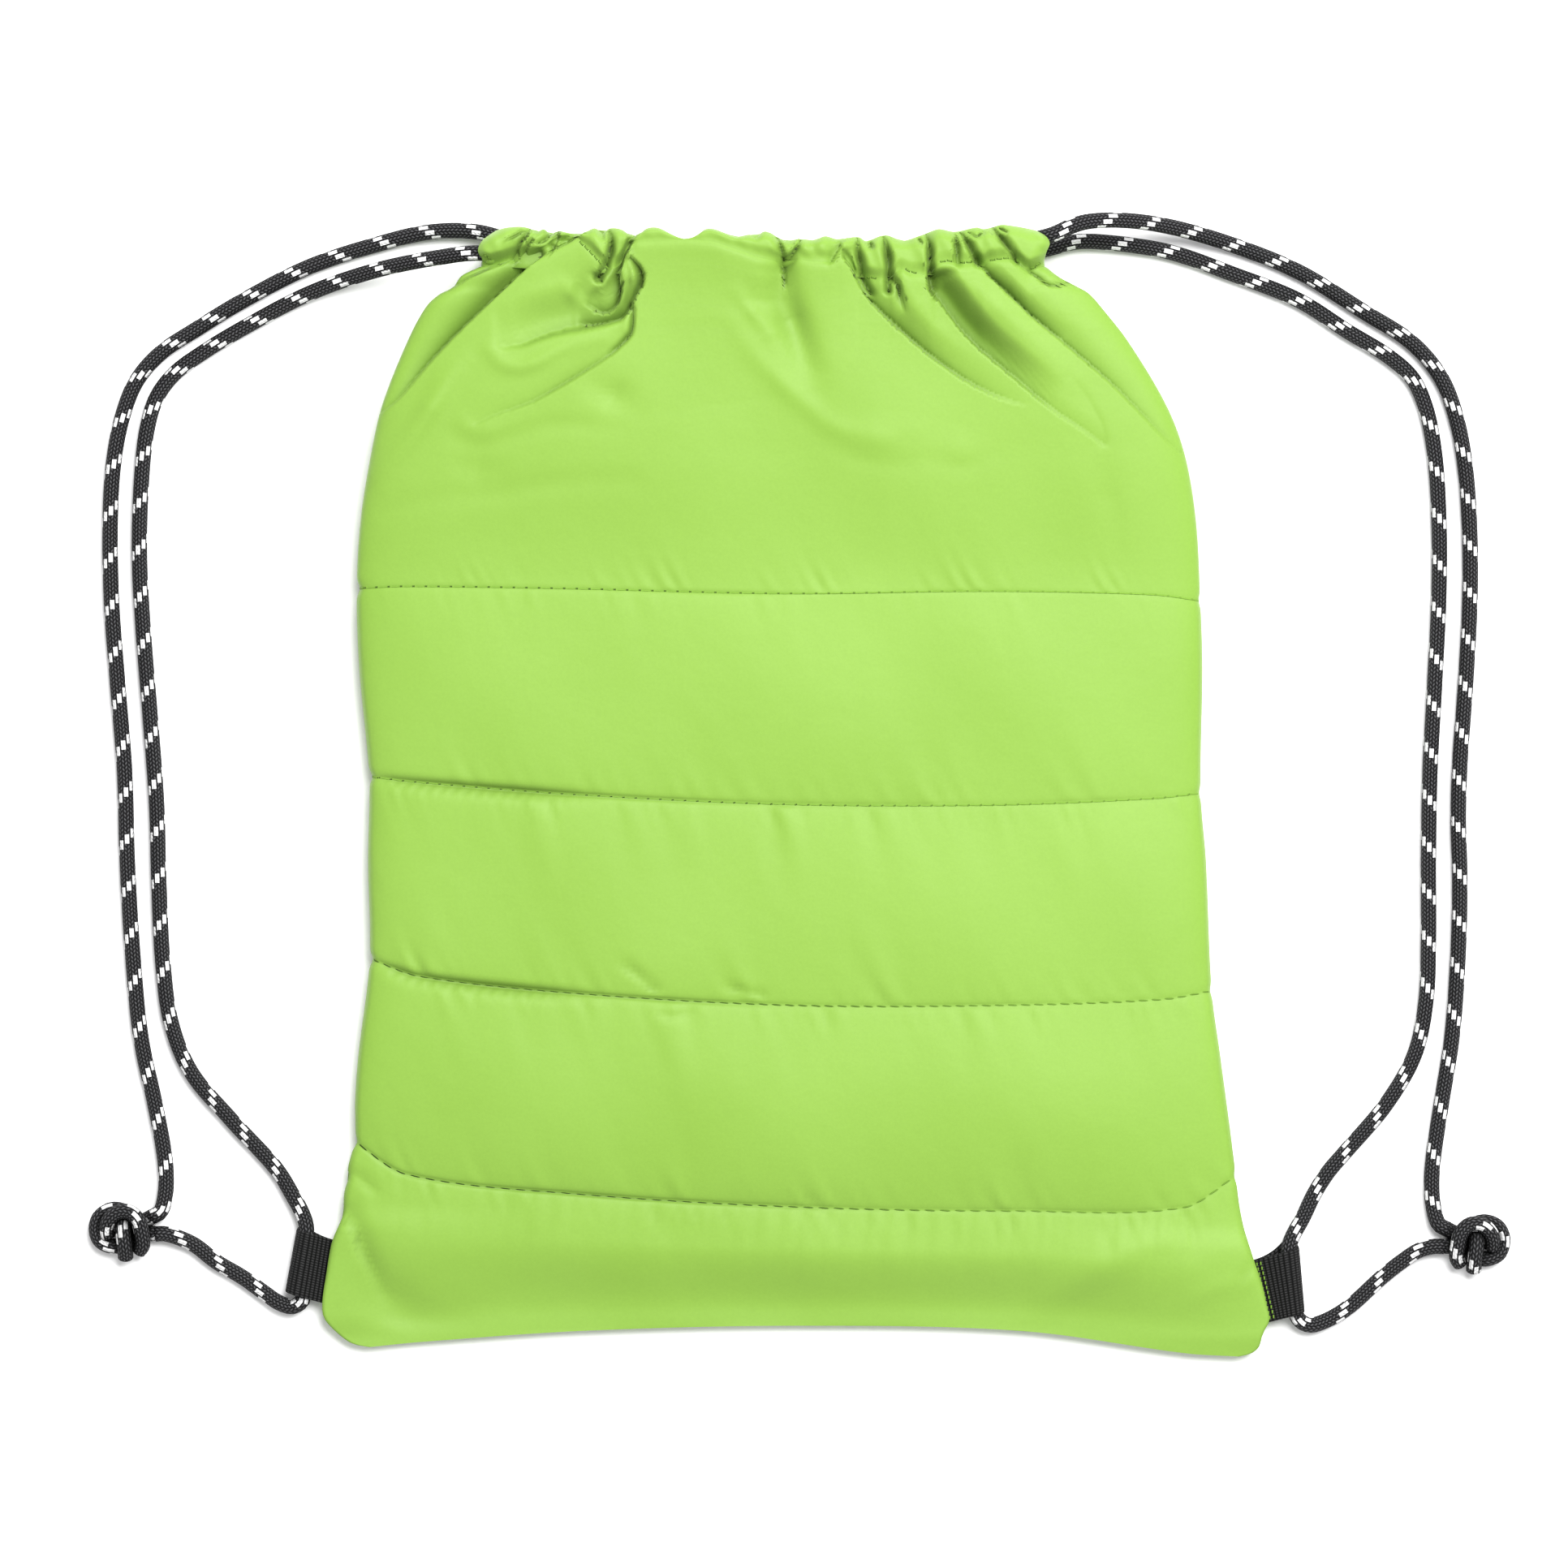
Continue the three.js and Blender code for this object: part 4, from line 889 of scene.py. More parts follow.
# Smooth random waves along a line: a sum of sines between two wavelengths.
def waves(x, shortest, longest, count, seed):
    pick = np.random.default_rng(seed)
    lengths = np.exp(pick.uniform(np.log(shortest), np.log(longest), count))
    phases = pick.uniform(0, 2 * pi, count)
    total = sum(np.sin(2 * pi * x / w + p) for w, p in zip(lengths, phases))
    return total / count**0.5


def rowsBetween(count, crowd):
    even = np.linspace(0, 1, count, endpoint=False)
    return blend(even, 0.5 - 0.5 * np.cos(pi * even), crowd)


def columnsOf(count, crowd):
    even = np.linspace(-1, 1, count + 1)
    return blend(even, np.sin(pi / 2 * even), crowd)


# The plan of a grid of places (u across, v counting sewn lines), with what the heights need.
def layOut(u, v):
    k = np.minimum(v.astype(int), yoke)
    t = v - k
    grid = {key: np.zeros((len(v), len(u))) for key in ("x", "y")}
    for i in range(len(v)):
        low, high = lineY[k[i]], lineY[k[i] + 1]
        y = blend(low(u), high(u), t[i])
        ends = blend(low(np.array([-1.0, 1.0])), high(np.array([-1.0, 1.0])), t[i])
        left, right = leftX(ends[:1])[0], rightX(ends[1:])[0]
        grid["x"][i] = blend(left, right, (u + 1) / 2)
        grid["y"][i] = y
    for key in ("side", "rise"):
        low = np.array([line[key] for line in bag["lines"]], float)
        climb = np.where(k == yoke, t ** bag["yokeClimb"], t)
        grid[key] = blend(low[k], low[k + 1], climb)[:, None]
    square = np.array(bag["square"], float)
    power = blend(square[k], square[k + 1], t)[:, None]
    grid["crown"] = np.maximum(0, 1 - np.abs(u)[None] ** power) ** (1 / power)
    grid["puff"] = np.array([line["puff"] for line in bag["lines"]], float)[k][:, None]
    grid["u"], grid["v"], grid["k"], grid["t"] = u[None], v[:, None], k[:, None], t[:, None]
    tabY = np.where(u[None] < 0, tabs["left_tab"]["y"], tabs["right_tab"]["y"])
    opened = 1 - smoothstep(tabPocket["full"], tabPocket["faded"], np.abs(grid["y"] - tabY))
    pocket = 2 * tab["webbing"] + 2 * bag["seamGap"]
    grid["gap"] = bag["seamGap"] + pocket * opened * np.abs(u[None]) ** 4
    return grid


farAway = 1e3


# Distance up or down to the nearest quilted line, that line's number, and whether it is the one below.
def toLine(grid):
    height = np.zeros_like(grid["y"])
    for i, k in enumerate(grid["k"][:, 0]):
        height[i] = lineY[k + 1](grid["u"][0]) - lineY[k](grid["u"][0])
    k, t = grid["k"], grid["t"]
    lower = np.where(k == 0, farAway, t * height)  # the hem isn't quilted
    upper = np.where(k == yoke, farAway, (1 - t) * height)  # nor is the neck
    isAbove = lower < upper
    return np.minimum(lower, upper), np.where(isAbove, k, k + 1), isAbove


# trench is how deep the stitches pull each sewn line, and swell how steeply the channels leave it: the
# lower, the steeper. Towards the right, from one flat value of x to the other, both are milder.
quilt = {
    "trench": 0.45, "trenchWide": 0.8, "swell": 0.3, "yokeSwell": 0.5,
    "flat": (-60.0, 30.0), "flatTrench": 0.25, "flatSwell": 0.8,
    "hem": (0.13, 0.66), "wholeHem": 0.14,  # the lowest channel swells late, and its edge has no folds
    "wall": 2.2, "yokeWall": 2.4,
}
overhang = {
    "lines": (2, 3), "depth": 2.0, "above": 1.6, "below": 3.0, "from": (-164, -152), "to": (-112, -66),
    "brick": 0.55, "brickPitch": 4.7,
}
pucker = {"height": 0.36, "yoke": 0.35, "near": 3.2, "far": 9.0}
pleat = {"height": 0.3, "reach": 13.0}  # fine ones, hanging from the lowest line
notch = {"depth": 1.2, "width": 2.4, "reach": 7.0}  # where the side seams are drawn in by the quilting
frontGrid = {"columns": 180, "channel": 40, "yoke": 150, "casing": 34, "inside": 30}

# The row of stitches between the yoke and the casing, drawn up and down by the gathers, the mouth's edge
# above it, the casing's two ends from row to mouth, and how far the yoke's cloth stands out along the row
# and is tucked in at it. The casing's face is at level; over is how far it rolls down at the mouth.
gather = {
    "row": [
        (-121, 200.4), (-116, 200.2), (-113.8, 200.6), (-105, 203.2), (-98, 203.2), (-90.4, 207),
        (-85.6, 209.3), (-82.8, 210.4), (-80.6, 208.4), (-77.7, 205.4), (-74.5, 201.8), (-72.5, 199.6),
        (-70, 199), (-68, 199.6), (-66, 201.6), (-64, 206), (-62, 208.6), (-59, 209), (-51.3, 209.3),
        (-43.1, 209.7), (-37.7, 209.6), (-33.1, 209.3), (-29.9, 208.7), (-26.3, 207.5), (-19.5, 205.2),
        (-14.9, 203.4), (-9.9, 202.3), (-6.3, 201.2), (-4.4, 199.4), (-2, 200.4), (0.9, 202.2),
        (5.6, 201.7), (12.7, 201.4), (14.5, 201.9), (17.3, 203.2), (19.1, 202.3), (21.2, 199.8),
        (23.6, 195.8), (26.6, 195.3), (33.7, 194.5), (36.3, 195), (38.7, 197.7), (40.4, 198.6),
        (44, 197), (48, 196.7), (51.4, 195.9), (53.9, 200.4), (57.5, 201.2), (65.8, 200.6),
        (68.1, 201.3), (71.5, 199.9), (73.3, 201.4), (76, 202), (82.4, 202.5), (85.9, 199.8),
        (88.7, 197.9), (91, 198.8), (96, 200.6),
    ],
    "mouth": [
        (-121, 213.4), (-115.2, 213.9), (-109.6, 215), (-104, 215.3), (-100.6, 214.6), (-98.4, 213.4),
        (-95.6, 214.4), (-92.8, 212.6), (-90, 213.8), (-84.5, 212.8), (-79.4, 213.4), (-76.1, 214.7),
        (-73.2, 213), (-70.5, 214.7), (-66, 214.2), (-62.2, 211.9), (-59.4, 212.3), (-56.6, 214.4),
        (-53.8, 215), (-51, 214.4), (-45.4, 211.3), (-42.6, 210.2), (-39.8, 210.4), (-37, 211.9),
        (-34.3, 214.1), (-31.5, 214.4), (-25.9, 212.5), (-22, 211.4), (-17.5, 212.2), (-14.7, 211.6),
        (-11.9, 213.4), (-9.1, 212.8), (-6.4, 211), (-3.6, 210), (2, 210.6), (7.6, 210.3),
        (11.4, 211.7), (16, 210.6), (24.3, 211.4), (27.1, 209.8), (32.7, 211.9), (35.5, 211.9),
        (41.1, 210), (46.7, 211.6), (52.2, 213.7), (55, 214.4), (60.6, 213.4), (69, 215),
        (71.8, 214.4), (78.6, 216), (82.9, 215.6), (88.5, 214.7), (96, 213.6),
    ],
    "leftEnd": [(0, -119.8), (0.18, -119.4), (0.45, -120.5), (0.75, -118.4), (1, -113.6)],
    "rightEnd": [(0, 95.3), (0.18, 95), (0.36, 95.5), (0.62, 96.8), (0.85, 95.2), (1, 91.2)],
    "lift": [
        (-125, 0), (-100, 0.4), (-78, 0.6), (-66, 0.6), (-60, 2.4), (-30, 2.6), (-12, 2.2), (-5, 1.4),
        (2, 2), (18, 2), (24, 0), (36, 0), (41, 1.6), (49, 1.2), (54, 2), (67, 2), (74, 1.8),
        (83, 1.6), (90, 0.4),
    ],
    "tuck": [
        (-125, 0.8), (-100, 1), (-84, 1.2), (-81, 0.3), (-74, 0.4), (-66, 0.8), (-60, 0.8), (-30, 0.8),
        (-14, 0.8), (-5, 1), (2, 0.6), (15, 0.6), (24, 0.4), (36, 0.5), (40, 1.2), (50, 0.9),
        (55, 1.1), (85, 1.1), (96, 0.5),
    ],
    "from": 0.72,
    "liftReach": 16.0,
    "tuckReach": 1.3,
    "level": 34.6,
    "belly": 1.5,
    "over": 6.5,
    "overFrom": 0.62,
    "lining": 30.0,
    "endDrop": 4.5,
    "endReach": 2.4,
    "wall": 1.0,
}
rowY = curveThrough(*zip(*gather["row"]))
mouthY = curveThrough(*zip(*gather["mouth"]))
leftEnd = curveThrough(*zip(*gather["leftEnd"]))
rightEnd = curveThrough(*zip(*gather["rightEnd"]))


def drawIn(x, off):
    drawn = notch["depth"] * np.exp(-((off / notch["width"]) ** 2))
    moved = x + drawn * np.exp(-(x - x[:, :1]) / notch["reach"])
    return moved - 0.5 * drawn * np.exp(-(x[:, -1:] - x) / notch["reach"])


# None on a sewn line, full at reach from it, and fading beyond.
def beside(off, reach):
    return off / reach * np.exp(1 - off / reach)


# How far the middle of the front stands above the side seams.
def riseAt(g):
    low, high = bag["lines"][1]["rise"], bag["lines"][2]["rise"]
    rolled = blend(low, high, 1 - (1 - np.clip(g["t"] / bag["rollsTo"], 0, 1)) ** 2)
    first = low * smoothstep(*quilt["hem"], g["t"])
    return np.where(g["k"] == 0, first, np.where(g["k"] == 1, rolled, g["rise"]))


# How far the cloth swells out between the sewn lines.
def swellAt(g, flat):
    t, k = g["t"], g["k"]
    steep = blend(quilt["swell"], quilt["flatSwell"], flat)
    hem = np.sin(pi * np.clip(t, 0.5, 1)) ** steep * smoothstep(*quilt["hem"], t)
    underYoke = (k == yoke - 1) & (t > 0.5)
    steep = np.where(underYoke, np.maximum(quilt["yokeSwell"], steep), steep)
    channel = np.sin(pi * np.clip(t, 0, 1)) ** steep
    gentle = 0.5 * smoothstep(0, 0.42, t) * (1 - smoothstep(0.5, 1, t))  # the yoke, from its lowest line
    return np.where(k == 0, hem, np.where(k == yoke, gentle, channel)) * g["puff"]


# What the stitches do to the cloth at off from the nearest line.
def stitchedIn(x, flat, off, line, isAbove):
    trench = blend(quilt["trench"], quilt["flatTrench"], flat) * np.where(line == yoke, 0.5, 1)
    height = -trench * np.exp(-((off / quilt["trenchWide"]) ** 2))

    # at the left the cloth hangs over two of the lines, with a row of small bricks below
    hung = smoothstep(*overhang["from"], x) * (1 - smoothstep(*overhang["to"], x))
    hung = hung * np.isin(line, overhang["lines"])
    reach = np.where(isAbove, overhang["above"], overhang["below"])
    height -= overhang["depth"] * hung * np.exp(-((off / reach) ** 2))
    bricks = np.sin(2 * pi * (x + 0.9 * off) / overhang["brickPitch"]) * np.exp(-(((off - 2) / 1.6) ** 2))
    height += np.where(isAbove, 0, overhang["brick"]) * hung * bricks

    for n in range(1, yoke + 1):
        for above, slant in ((True, 0.5), (False, -0.35)):
            seed = 20 * n + above
            along = x + slant * off
            strength = pucker["height"] * np.clip(0.5 + 0.8 * waves(x, 25, 90, 4, seed + 7), 0, 1.5)
            strength = strength * (pucker["yoke"] if n == yoke else 1)
            ripple = 0.9 * beside(off, pucker["near"]) * waves(along, 5, 14, 8, seed)
            ripple += 0.5 * beside(off, pucker["far"]) * waves(along, 16, 50, 6, seed + 3)
            height += np.where((line == n) & (isAbove == above), strength * ripple, 0)
    pleats = pleat["height"] * waves(x + 0.1 * off, 4.5, 11, 9, 23)
    pleats = pleats * np.exp(-off / pleat["reach"]) * (1 - np.exp(-off / 2))
    return height + np.where((line == 1) & ~isAbove, pleats, 0)


def frontSurface(u, v):
    g = layOut(u, v)
    x, y, t, k = g["x"], g["y"], g["t"], g["k"]
    inYoke = np.where(k == yoke, t, 0)
    y = y + (rowY(x) - lineY[-1](u)[None]) * smoothstep(gather["from"], 1, inYoke)
    if v[0] == yoke:
        x[1:-1, 1:-1], y[1:-1, 1:-1] = snapToTucks(x[1:-1, 1:-1], y[1:-1, 1:-1])
    below = np.where(k == yoke, np.maximum(0, rowY(x) - y), farAway)  # how far below the gathers
    lift = np.interp(x, *zip(*gather["lift"])) * np.exp(-((below / gather["liftReach"]) ** 1.5))
    tucked = np.interp(x, *zip(*gather["tuck"])) * np.exp(-((below / gather["tuckReach"]) ** 1.3))
    folds = foldsAt(x, y) * np.where(k == 0, smoothstep(0, quilt["wholeHem"], t), 1)
    loose = 0.5 * waves(x + 0.6 * y, 70, 160, 6, 5) * np.sin(pi * t) ** 0.5
    flat = smoothstep(*quilt["flat"], x)
    off, line, isAbove = toLine(g)
    height = riseAt(g) + swellAt(g, flat) + lift - tucked + folds
    height = height + loose + stitchedIn(x, flat, off, line, isAbove)
    z = g["side"] + g["gap"] / 2 + bag["edge"] + g["crown"] * height
    padding = quilt["wall"] * (1 + np.sin(pi * np.clip(t, 0, 1)) ** 0.6)
    wall = blend(bag["edge"], np.where(k == yoke, quilt["yokeWall"], padding), g["crown"])
    return {"x": drawIn(x, off), "y": y, "z": z, "wall": wall}


# The casing's front face, from the row of stitches (s is 0) to the mouth (1) and over it (up to 1.3).
def casingFace(u, s, foot):
    onFace = np.clip(s, 0, 1)
    part = onFace[:, None]
    left, right = leftEnd(onFace)[:, None], rightEnd(onFace)[:, None]
    x = blend(left, right, (u[None] + 1) / 2)
    low, high = rowY(x), mouthY(x)
    beyond = np.maximum(0, s[:, None] - 1)
    y = blend(low, high, part) - gather["lining"] * beyond**2
    x[1:-1, 1:-1], y[1:-1, 1:-1] = snapToTucks(x[1:-1, 1:-1], y[1:-1, 1:-1])
    toEnd = np.maximum(0, np.minimum(x - left, right - x))
    rolled = np.clip((part - gather["overFrom"]) / (1 - gather["overFrom"]), 0, 1)
    z = gather["level"] + gather["belly"] * np.sin(pi * part) ** 0.8
    z = z + 0.25 * waves(x + 0.5 * y, 5, 15, 8, 77) + foldsAt(x, y) * smoothstep(0, 5, toEnd + 1.5)
    z -= gather["over"] * (1 - np.sqrt(1 - rolled**2)) + gather["lining"] * beyond
    z -= gather["endDrop"] * np.exp(-((toEnd / gather["endReach"]) ** 1.2))
    z = blend(foot[None] - 0.15, z, smoothstep(0, 5, y - low + 2 * gather["lining"] * beyond))
    return {"x": x, "y": y, "z": z, "wall": np.full_like(z, gather["wall"])}


# A padded wall: the outer skin, and an inner one with fewer columns, kept below every fold of the outer.
# capped names the rows, first or last, at which a strip closes the gap between the two.
def panelParts(grid, inside, upward, capped):
    x, y, outer = grid["x"], grid["y"], grid["z"]
    rows, columns = outer.shape
    picks = np.unique(np.linspace(0, columns - 1, inside).round().astype(int))[::-1]
    sense = 1 if upward else -1
    block = max(1, columns // inside)
    inner = np.zeros((rows, len(picks)))
    for m, j in enumerate(picks):
        near = sense * outer[:, max(0, j - block) : j + block + 1]
        inner[:, m] = sense * near.min(1)
    inner -= sense * grid["wall"][:, picks]
    full = np.hstack([outer, inner])
    fullX, fullY = np.hstack([x, x[:, picks]]), np.hstack([y, y[:, picks]])
    points = np.stack([fullX, fullY, full], -1).reshape(-1, 3)
    quads, row, column = gridQuads(rows, full.shape[1], roundColumns=True)
    if not upward:
        quads, row, column = quads[:, ::-1], row[:, ::-1], column[:, ::-1]
    across = np.cumsum(np.hypot(np.diff(x, axis=1), np.diff(outer, axis=1)), axis=1)
    along = np.cumsum(np.hypot(np.diff(y, axis=0), np.diff(outer, axis=0)), axis=0)
    run = np.hstack([np.zeros((rows, 1)), across])
    climb = np.vstack([np.zeros((1, columns)), along])
    flatX = np.hstack([run, run[:, picks], run[:, :1]])
    flatY = np.hstack([climb, climb[:, picks], climb[:, :1]])
    corners = np.stack([flatX[row, column], flatY[row, column]], -1).reshape(-1, 2) * mm
    faces = quads.tolist()
    strip = []
    for r in capped:
        start = (r % rows) * full.shape[1]
        base = len(points)
        points = np.vstack([points, points[start : start + full.shape[1]]])
        inward = [base + columns + i for i in range(len(picks))][::-1]
        m = 0
        for j in range(columns - 1):
            strip.append([base + j, base + j + 1, inward[m]])
            if m + 1 < len(picks) and j + 1 >= picks[::-1][m + 1]:
                strip.append([base + j + 1, inward[m + 1], inward[m]])
                m += 1
    return points, faces + strip, np.vstack([corners, np.zeros((3 * len(strip), 2))])


def addPanel(name, node, parts):
    made = makeMesh(name, joinParts(parts), cloth)
    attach(made, "root")
    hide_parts(node)
    print(name, len(made.data.polygons))


# The yoke has twice the columns of the channels below it, for its gathers.
bodyV = np.concatenate([k + rowsBetween(frontGrid["channel"], 0.62) for k in range(yoke)] + [[yoke]])
bodyU = columnsOf(frontGrid["columns"], 0.3)
yokeV = np.append(yoke + rowsBetween(frontGrid["yoke"], 0.25), yoke + 1)
yokeU = np.interp(np.arange(2 * len(bodyU) - 1) / 2, np.arange(len(bodyU)), bodyU)
body = frontSurface(bodyU, bodyV)
upper = frontSurface(yokeU, yokeV)
for key in ("x", "y", "z"):  # the finer grid starts on the straight edges of the coarser one
    upper[key][0, 1::2] = (upper[key][0, :-1:2] + upper[key][0, 2::2]) / 2
bodyParts = panelParts(body, frontGrid["inside"], True, [0])
yokeParts = panelParts(upper, frontGrid["inside"], True, [-1])
addPanel("front_quilting", "front_panel", [bodyParts, yokeParts])

# The back lies flat on the surface between its own quilted lines, and is pleated under the neck.
back = {
    "stitch": 2.5, "puff": 5.0, "wall": 3.0, "lowest": 0.05, "pucker": 0.5, "puckerReach": 6.0,
    "pleat": 24.0, "pleatHeight": 4.0, "pleatReach": 55.0,
    "columns": 130, "channel": 20, "yoke": 40, "inside": 26,
}


def backSurface(u, v):
    g = layOut(u, v)
    x, crown = g["x"], g["crown"]
    edge = g["side"] - g["gap"] / 2 - bag["edge"]
    gathered = 1 - np.clip((lineY[-1](u)[None] - g["y"]) / back["pleatReach"], 0, 1)
    pleats = 0.5 + 0.5 * np.cos(2 * pi * x / back["pleat"] + 0.6 * waves(x, 30, 80, 4, 9))
    hemmed = np.where(g["v"] < 1, np.clip(g["v"], 0, 1) ** 0.4, 1)
    swell = back["puff"] * np.sin(pi * np.clip(g["t"], 0, 1)) ** 0.6
    drop = (edge - back["stitch"]) * hemmed + swell - back["pleatHeight"] * gathered * pleats
    off = toLine(g)[0]
    drop = drop + back["pucker"] * waves(x, 6, 22, 9, 31) * beside(off, back["puckerReach"])
    z = np.maximum(back["lowest"], edge - crown * drop)
    return {"x": drawIn(x, off), "y": g["y"], "z": z, "wall": blend(bag["edge"], back["wall"], crown)}


backV = [k + rowsBetween(back["channel"], 0.55) for k in range(yoke)]
backV = np.concatenate([*backV, yoke + rowsBetween(back["yoke"], 0.3), [yoke + 1]])
backSkin = backSurface(columnsOf(back["columns"], 0.5), backV)
addPanel("back_quilting", "back_panel", [panelParts(backSkin, back["inside"], False, [0, -1])])

# Casing: its front face carries on from the yoke, and a flat ring behind it closes the tunnel. stops is
# how many places the ring has along the front, round a bend, along the back and round the other bend.
faceInside = 60
mouthRoll = [1, 1.06, 1.13, 1.21, 1.3]
ring = {
    "stops": (120, 40, 150, 40), "around": 32, "square": 0.65, "lowest": 0.05, "cloth": 1.4,
    "bulge": 2.0, "below": 3.0, "inset": 1.6, "endInset": 5.0,
    "crease": 1.3, "creaseDepth": (1.5, 3), "creaseEvery": (8, 17),
}
casingRun = 2 * casing["halfRun"]
casingTurn = pi * casing["bend"]


def casingLine(at):
    onBack = at >= casingRun + casingTurn
    local = np.where(onBack, at - casingRun - casingTurn, at)
    sense = np.where(onBack, -1.0, 1.0)
    bent = np.maximum(0, local - casingRun) / casing["bend"]
    outX, outZ = sense * np.sin(bent), sense * np.cos(bent)
    along = np.minimum(local, casingRun) - casing["halfRun"]
    x = casing["centre"] + sense * along + casing["bend"] * outX
    return x, casingZ + casing["bend"] * outZ, outX, outZ


def ringParts():
    loop = 0.0
    stops = []
    for length, count in zip((casingRun, casingTurn, casingRun, casingTurn), ring["stops"]):
        stops.append(loop + length * np.arange(count) / count)
        loop += length
    stops = np.concatenate(stops)
    lineX, lineZ, outX, outZ = casingLine(stops)

    pinched = np.zeros(len(stops))
    at = casingRun + casingTurn / 2
    while at < loop - casingTurn / 2:
        crease = np.exp(-((np.abs(stops - at) / ring["crease"]) ** 1.4))
        pinched = np.maximum(pinched, chance.uniform(*ring["creaseDepth"]) * crease)
        at += chance.uniform(*ring["creaseEvery"])

    angle = 2 * pi * (np.arange(ring["around"]) + 0.5) / ring["around"]
    outward = np.sign(np.cos(angle)) * np.abs(np.cos(angle)) ** ring["square"]
    upright = np.sign(np.sin(angle)) * np.abs(np.sin(angle)) ** ring["square"]
    behind = 1 - smoothstep(0.2, 0.8, outZ)  # not under the front face
    swell = behind * (ring["bulge"] * np.abs(outZ) - pinched + 0.3 * waves(stops, 5, 14, 8, 76))
    depth = blend(-ring["below"], casing["halfDepth"] - 0.6 * np.abs(outX), behind)
    reach = np.maximum(outward, 0)[None] * (depth + swell)[:, None]
    reach = reach + np.minimum(outward, 0)[None] * casing["halfDepth"]
    ceiling = mouthY(lineX) - casingY(lineX) - ring["inset"] - ring["endInset"] * np.abs(outX) ** 2
    rise = np.maximum(upright, 0)[None] * ceiling[:, None]
    rise = rise + np.minimum(upright, 0)[None] * casing["halfHeight"]
    x = lineX[:, None] + outX[:, None] * reach
    y = casingY(lineX)[:, None] + rise
    z = np.maximum(ring["lowest"], lineZ[:, None] + outZ[:, None] * reach)

    quads, row, column = gridQuads(len(stops), ring["around"], roundRows=True, roundColumns=True)
    along = np.r_[stops, loop]
    corners = np.stack([along[row], column * ring["cloth"]], -1).reshape(-1, 2) * mm
    return np.stack([x, y, z], -1).reshape(-1, 3), quads.tolist(), corners


faceS = np.concatenate([rowsBetween(frontGrid["casing"], 0.5), mouthRoll])
face = casingFace(yokeU, faceS, upper["z"][-1])
casingParts = [panelParts(face, faceInside, True, [0, -1]), ringParts()]
addPanel("casing_ruffles", "drawstring_casing", casingParts)

# Hemmed openings where the cords leave the casing, at frontOut or backOut past its straight run
lip = {
    "inner": 3.1, "thick": 0.55, "reach": 1.6, "around": 28, "section": 8,
    "frontOut": 14.5, "backOut": 13.5, "mouthFrom": 150.0,
}


def lipParts(line, side, level):
    out = lip["frontOut"] if level > casingZ else lip["backOut"]
    endX = casing["centre"] + side * (casing["halfRun"] + out)
    far = np.abs(line[:, 0] - endX) + 0.5 * np.abs(line[:, 2] - level)
    far[line[:, 1] < lip["mouthFrom"]] = np.inf
    i = int(far.argmin())
    way = line[i + 1] - line[i - 1]
    way = way / np.linalg.norm(way)
    sideways = np.cross(way, (0, 0, 1.0))
    sideways /= np.linalg.norm(sideways)
    upright = np.cross(sideways, way)
    points = []
    for a in 2 * pi * np.arange(lip["around"]) / lip["around"]:
        spoke = sideways * cos(a) + upright * sin(a)
        uneven = 1 + 0.12 * sin(5 * a + 1) + 0.08 * sin(9 * a)
        middle = line[i] + spoke * (lip["inner"] + lip["thick"])
        for b in 2 * pi * np.arange(lip["section"]) / lip["section"]:
            off = spoke * lip["thick"] * cos(b) + way * lip["reach"] * sin(b)
            points.append(middle + uneven * off)
    quads, row, column = gridQuads(lip["around"], lip["section"], roundRows=True, roundColumns=True)
    return np.array(points), quads.tolist(), np.stack([row, column], -1).reshape(-1, 2) * mm


leftLip = lipParts(cordPieces["left"][1], -1, casingZ + casing["bend"])
rightLip = lipParts(cordPieces["right"][1], 1, casingZ - casing["bend"])
lips = makeMesh("casing_lips", joinParts([leftLip, rightLip]), cloth)
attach(lips, "root")


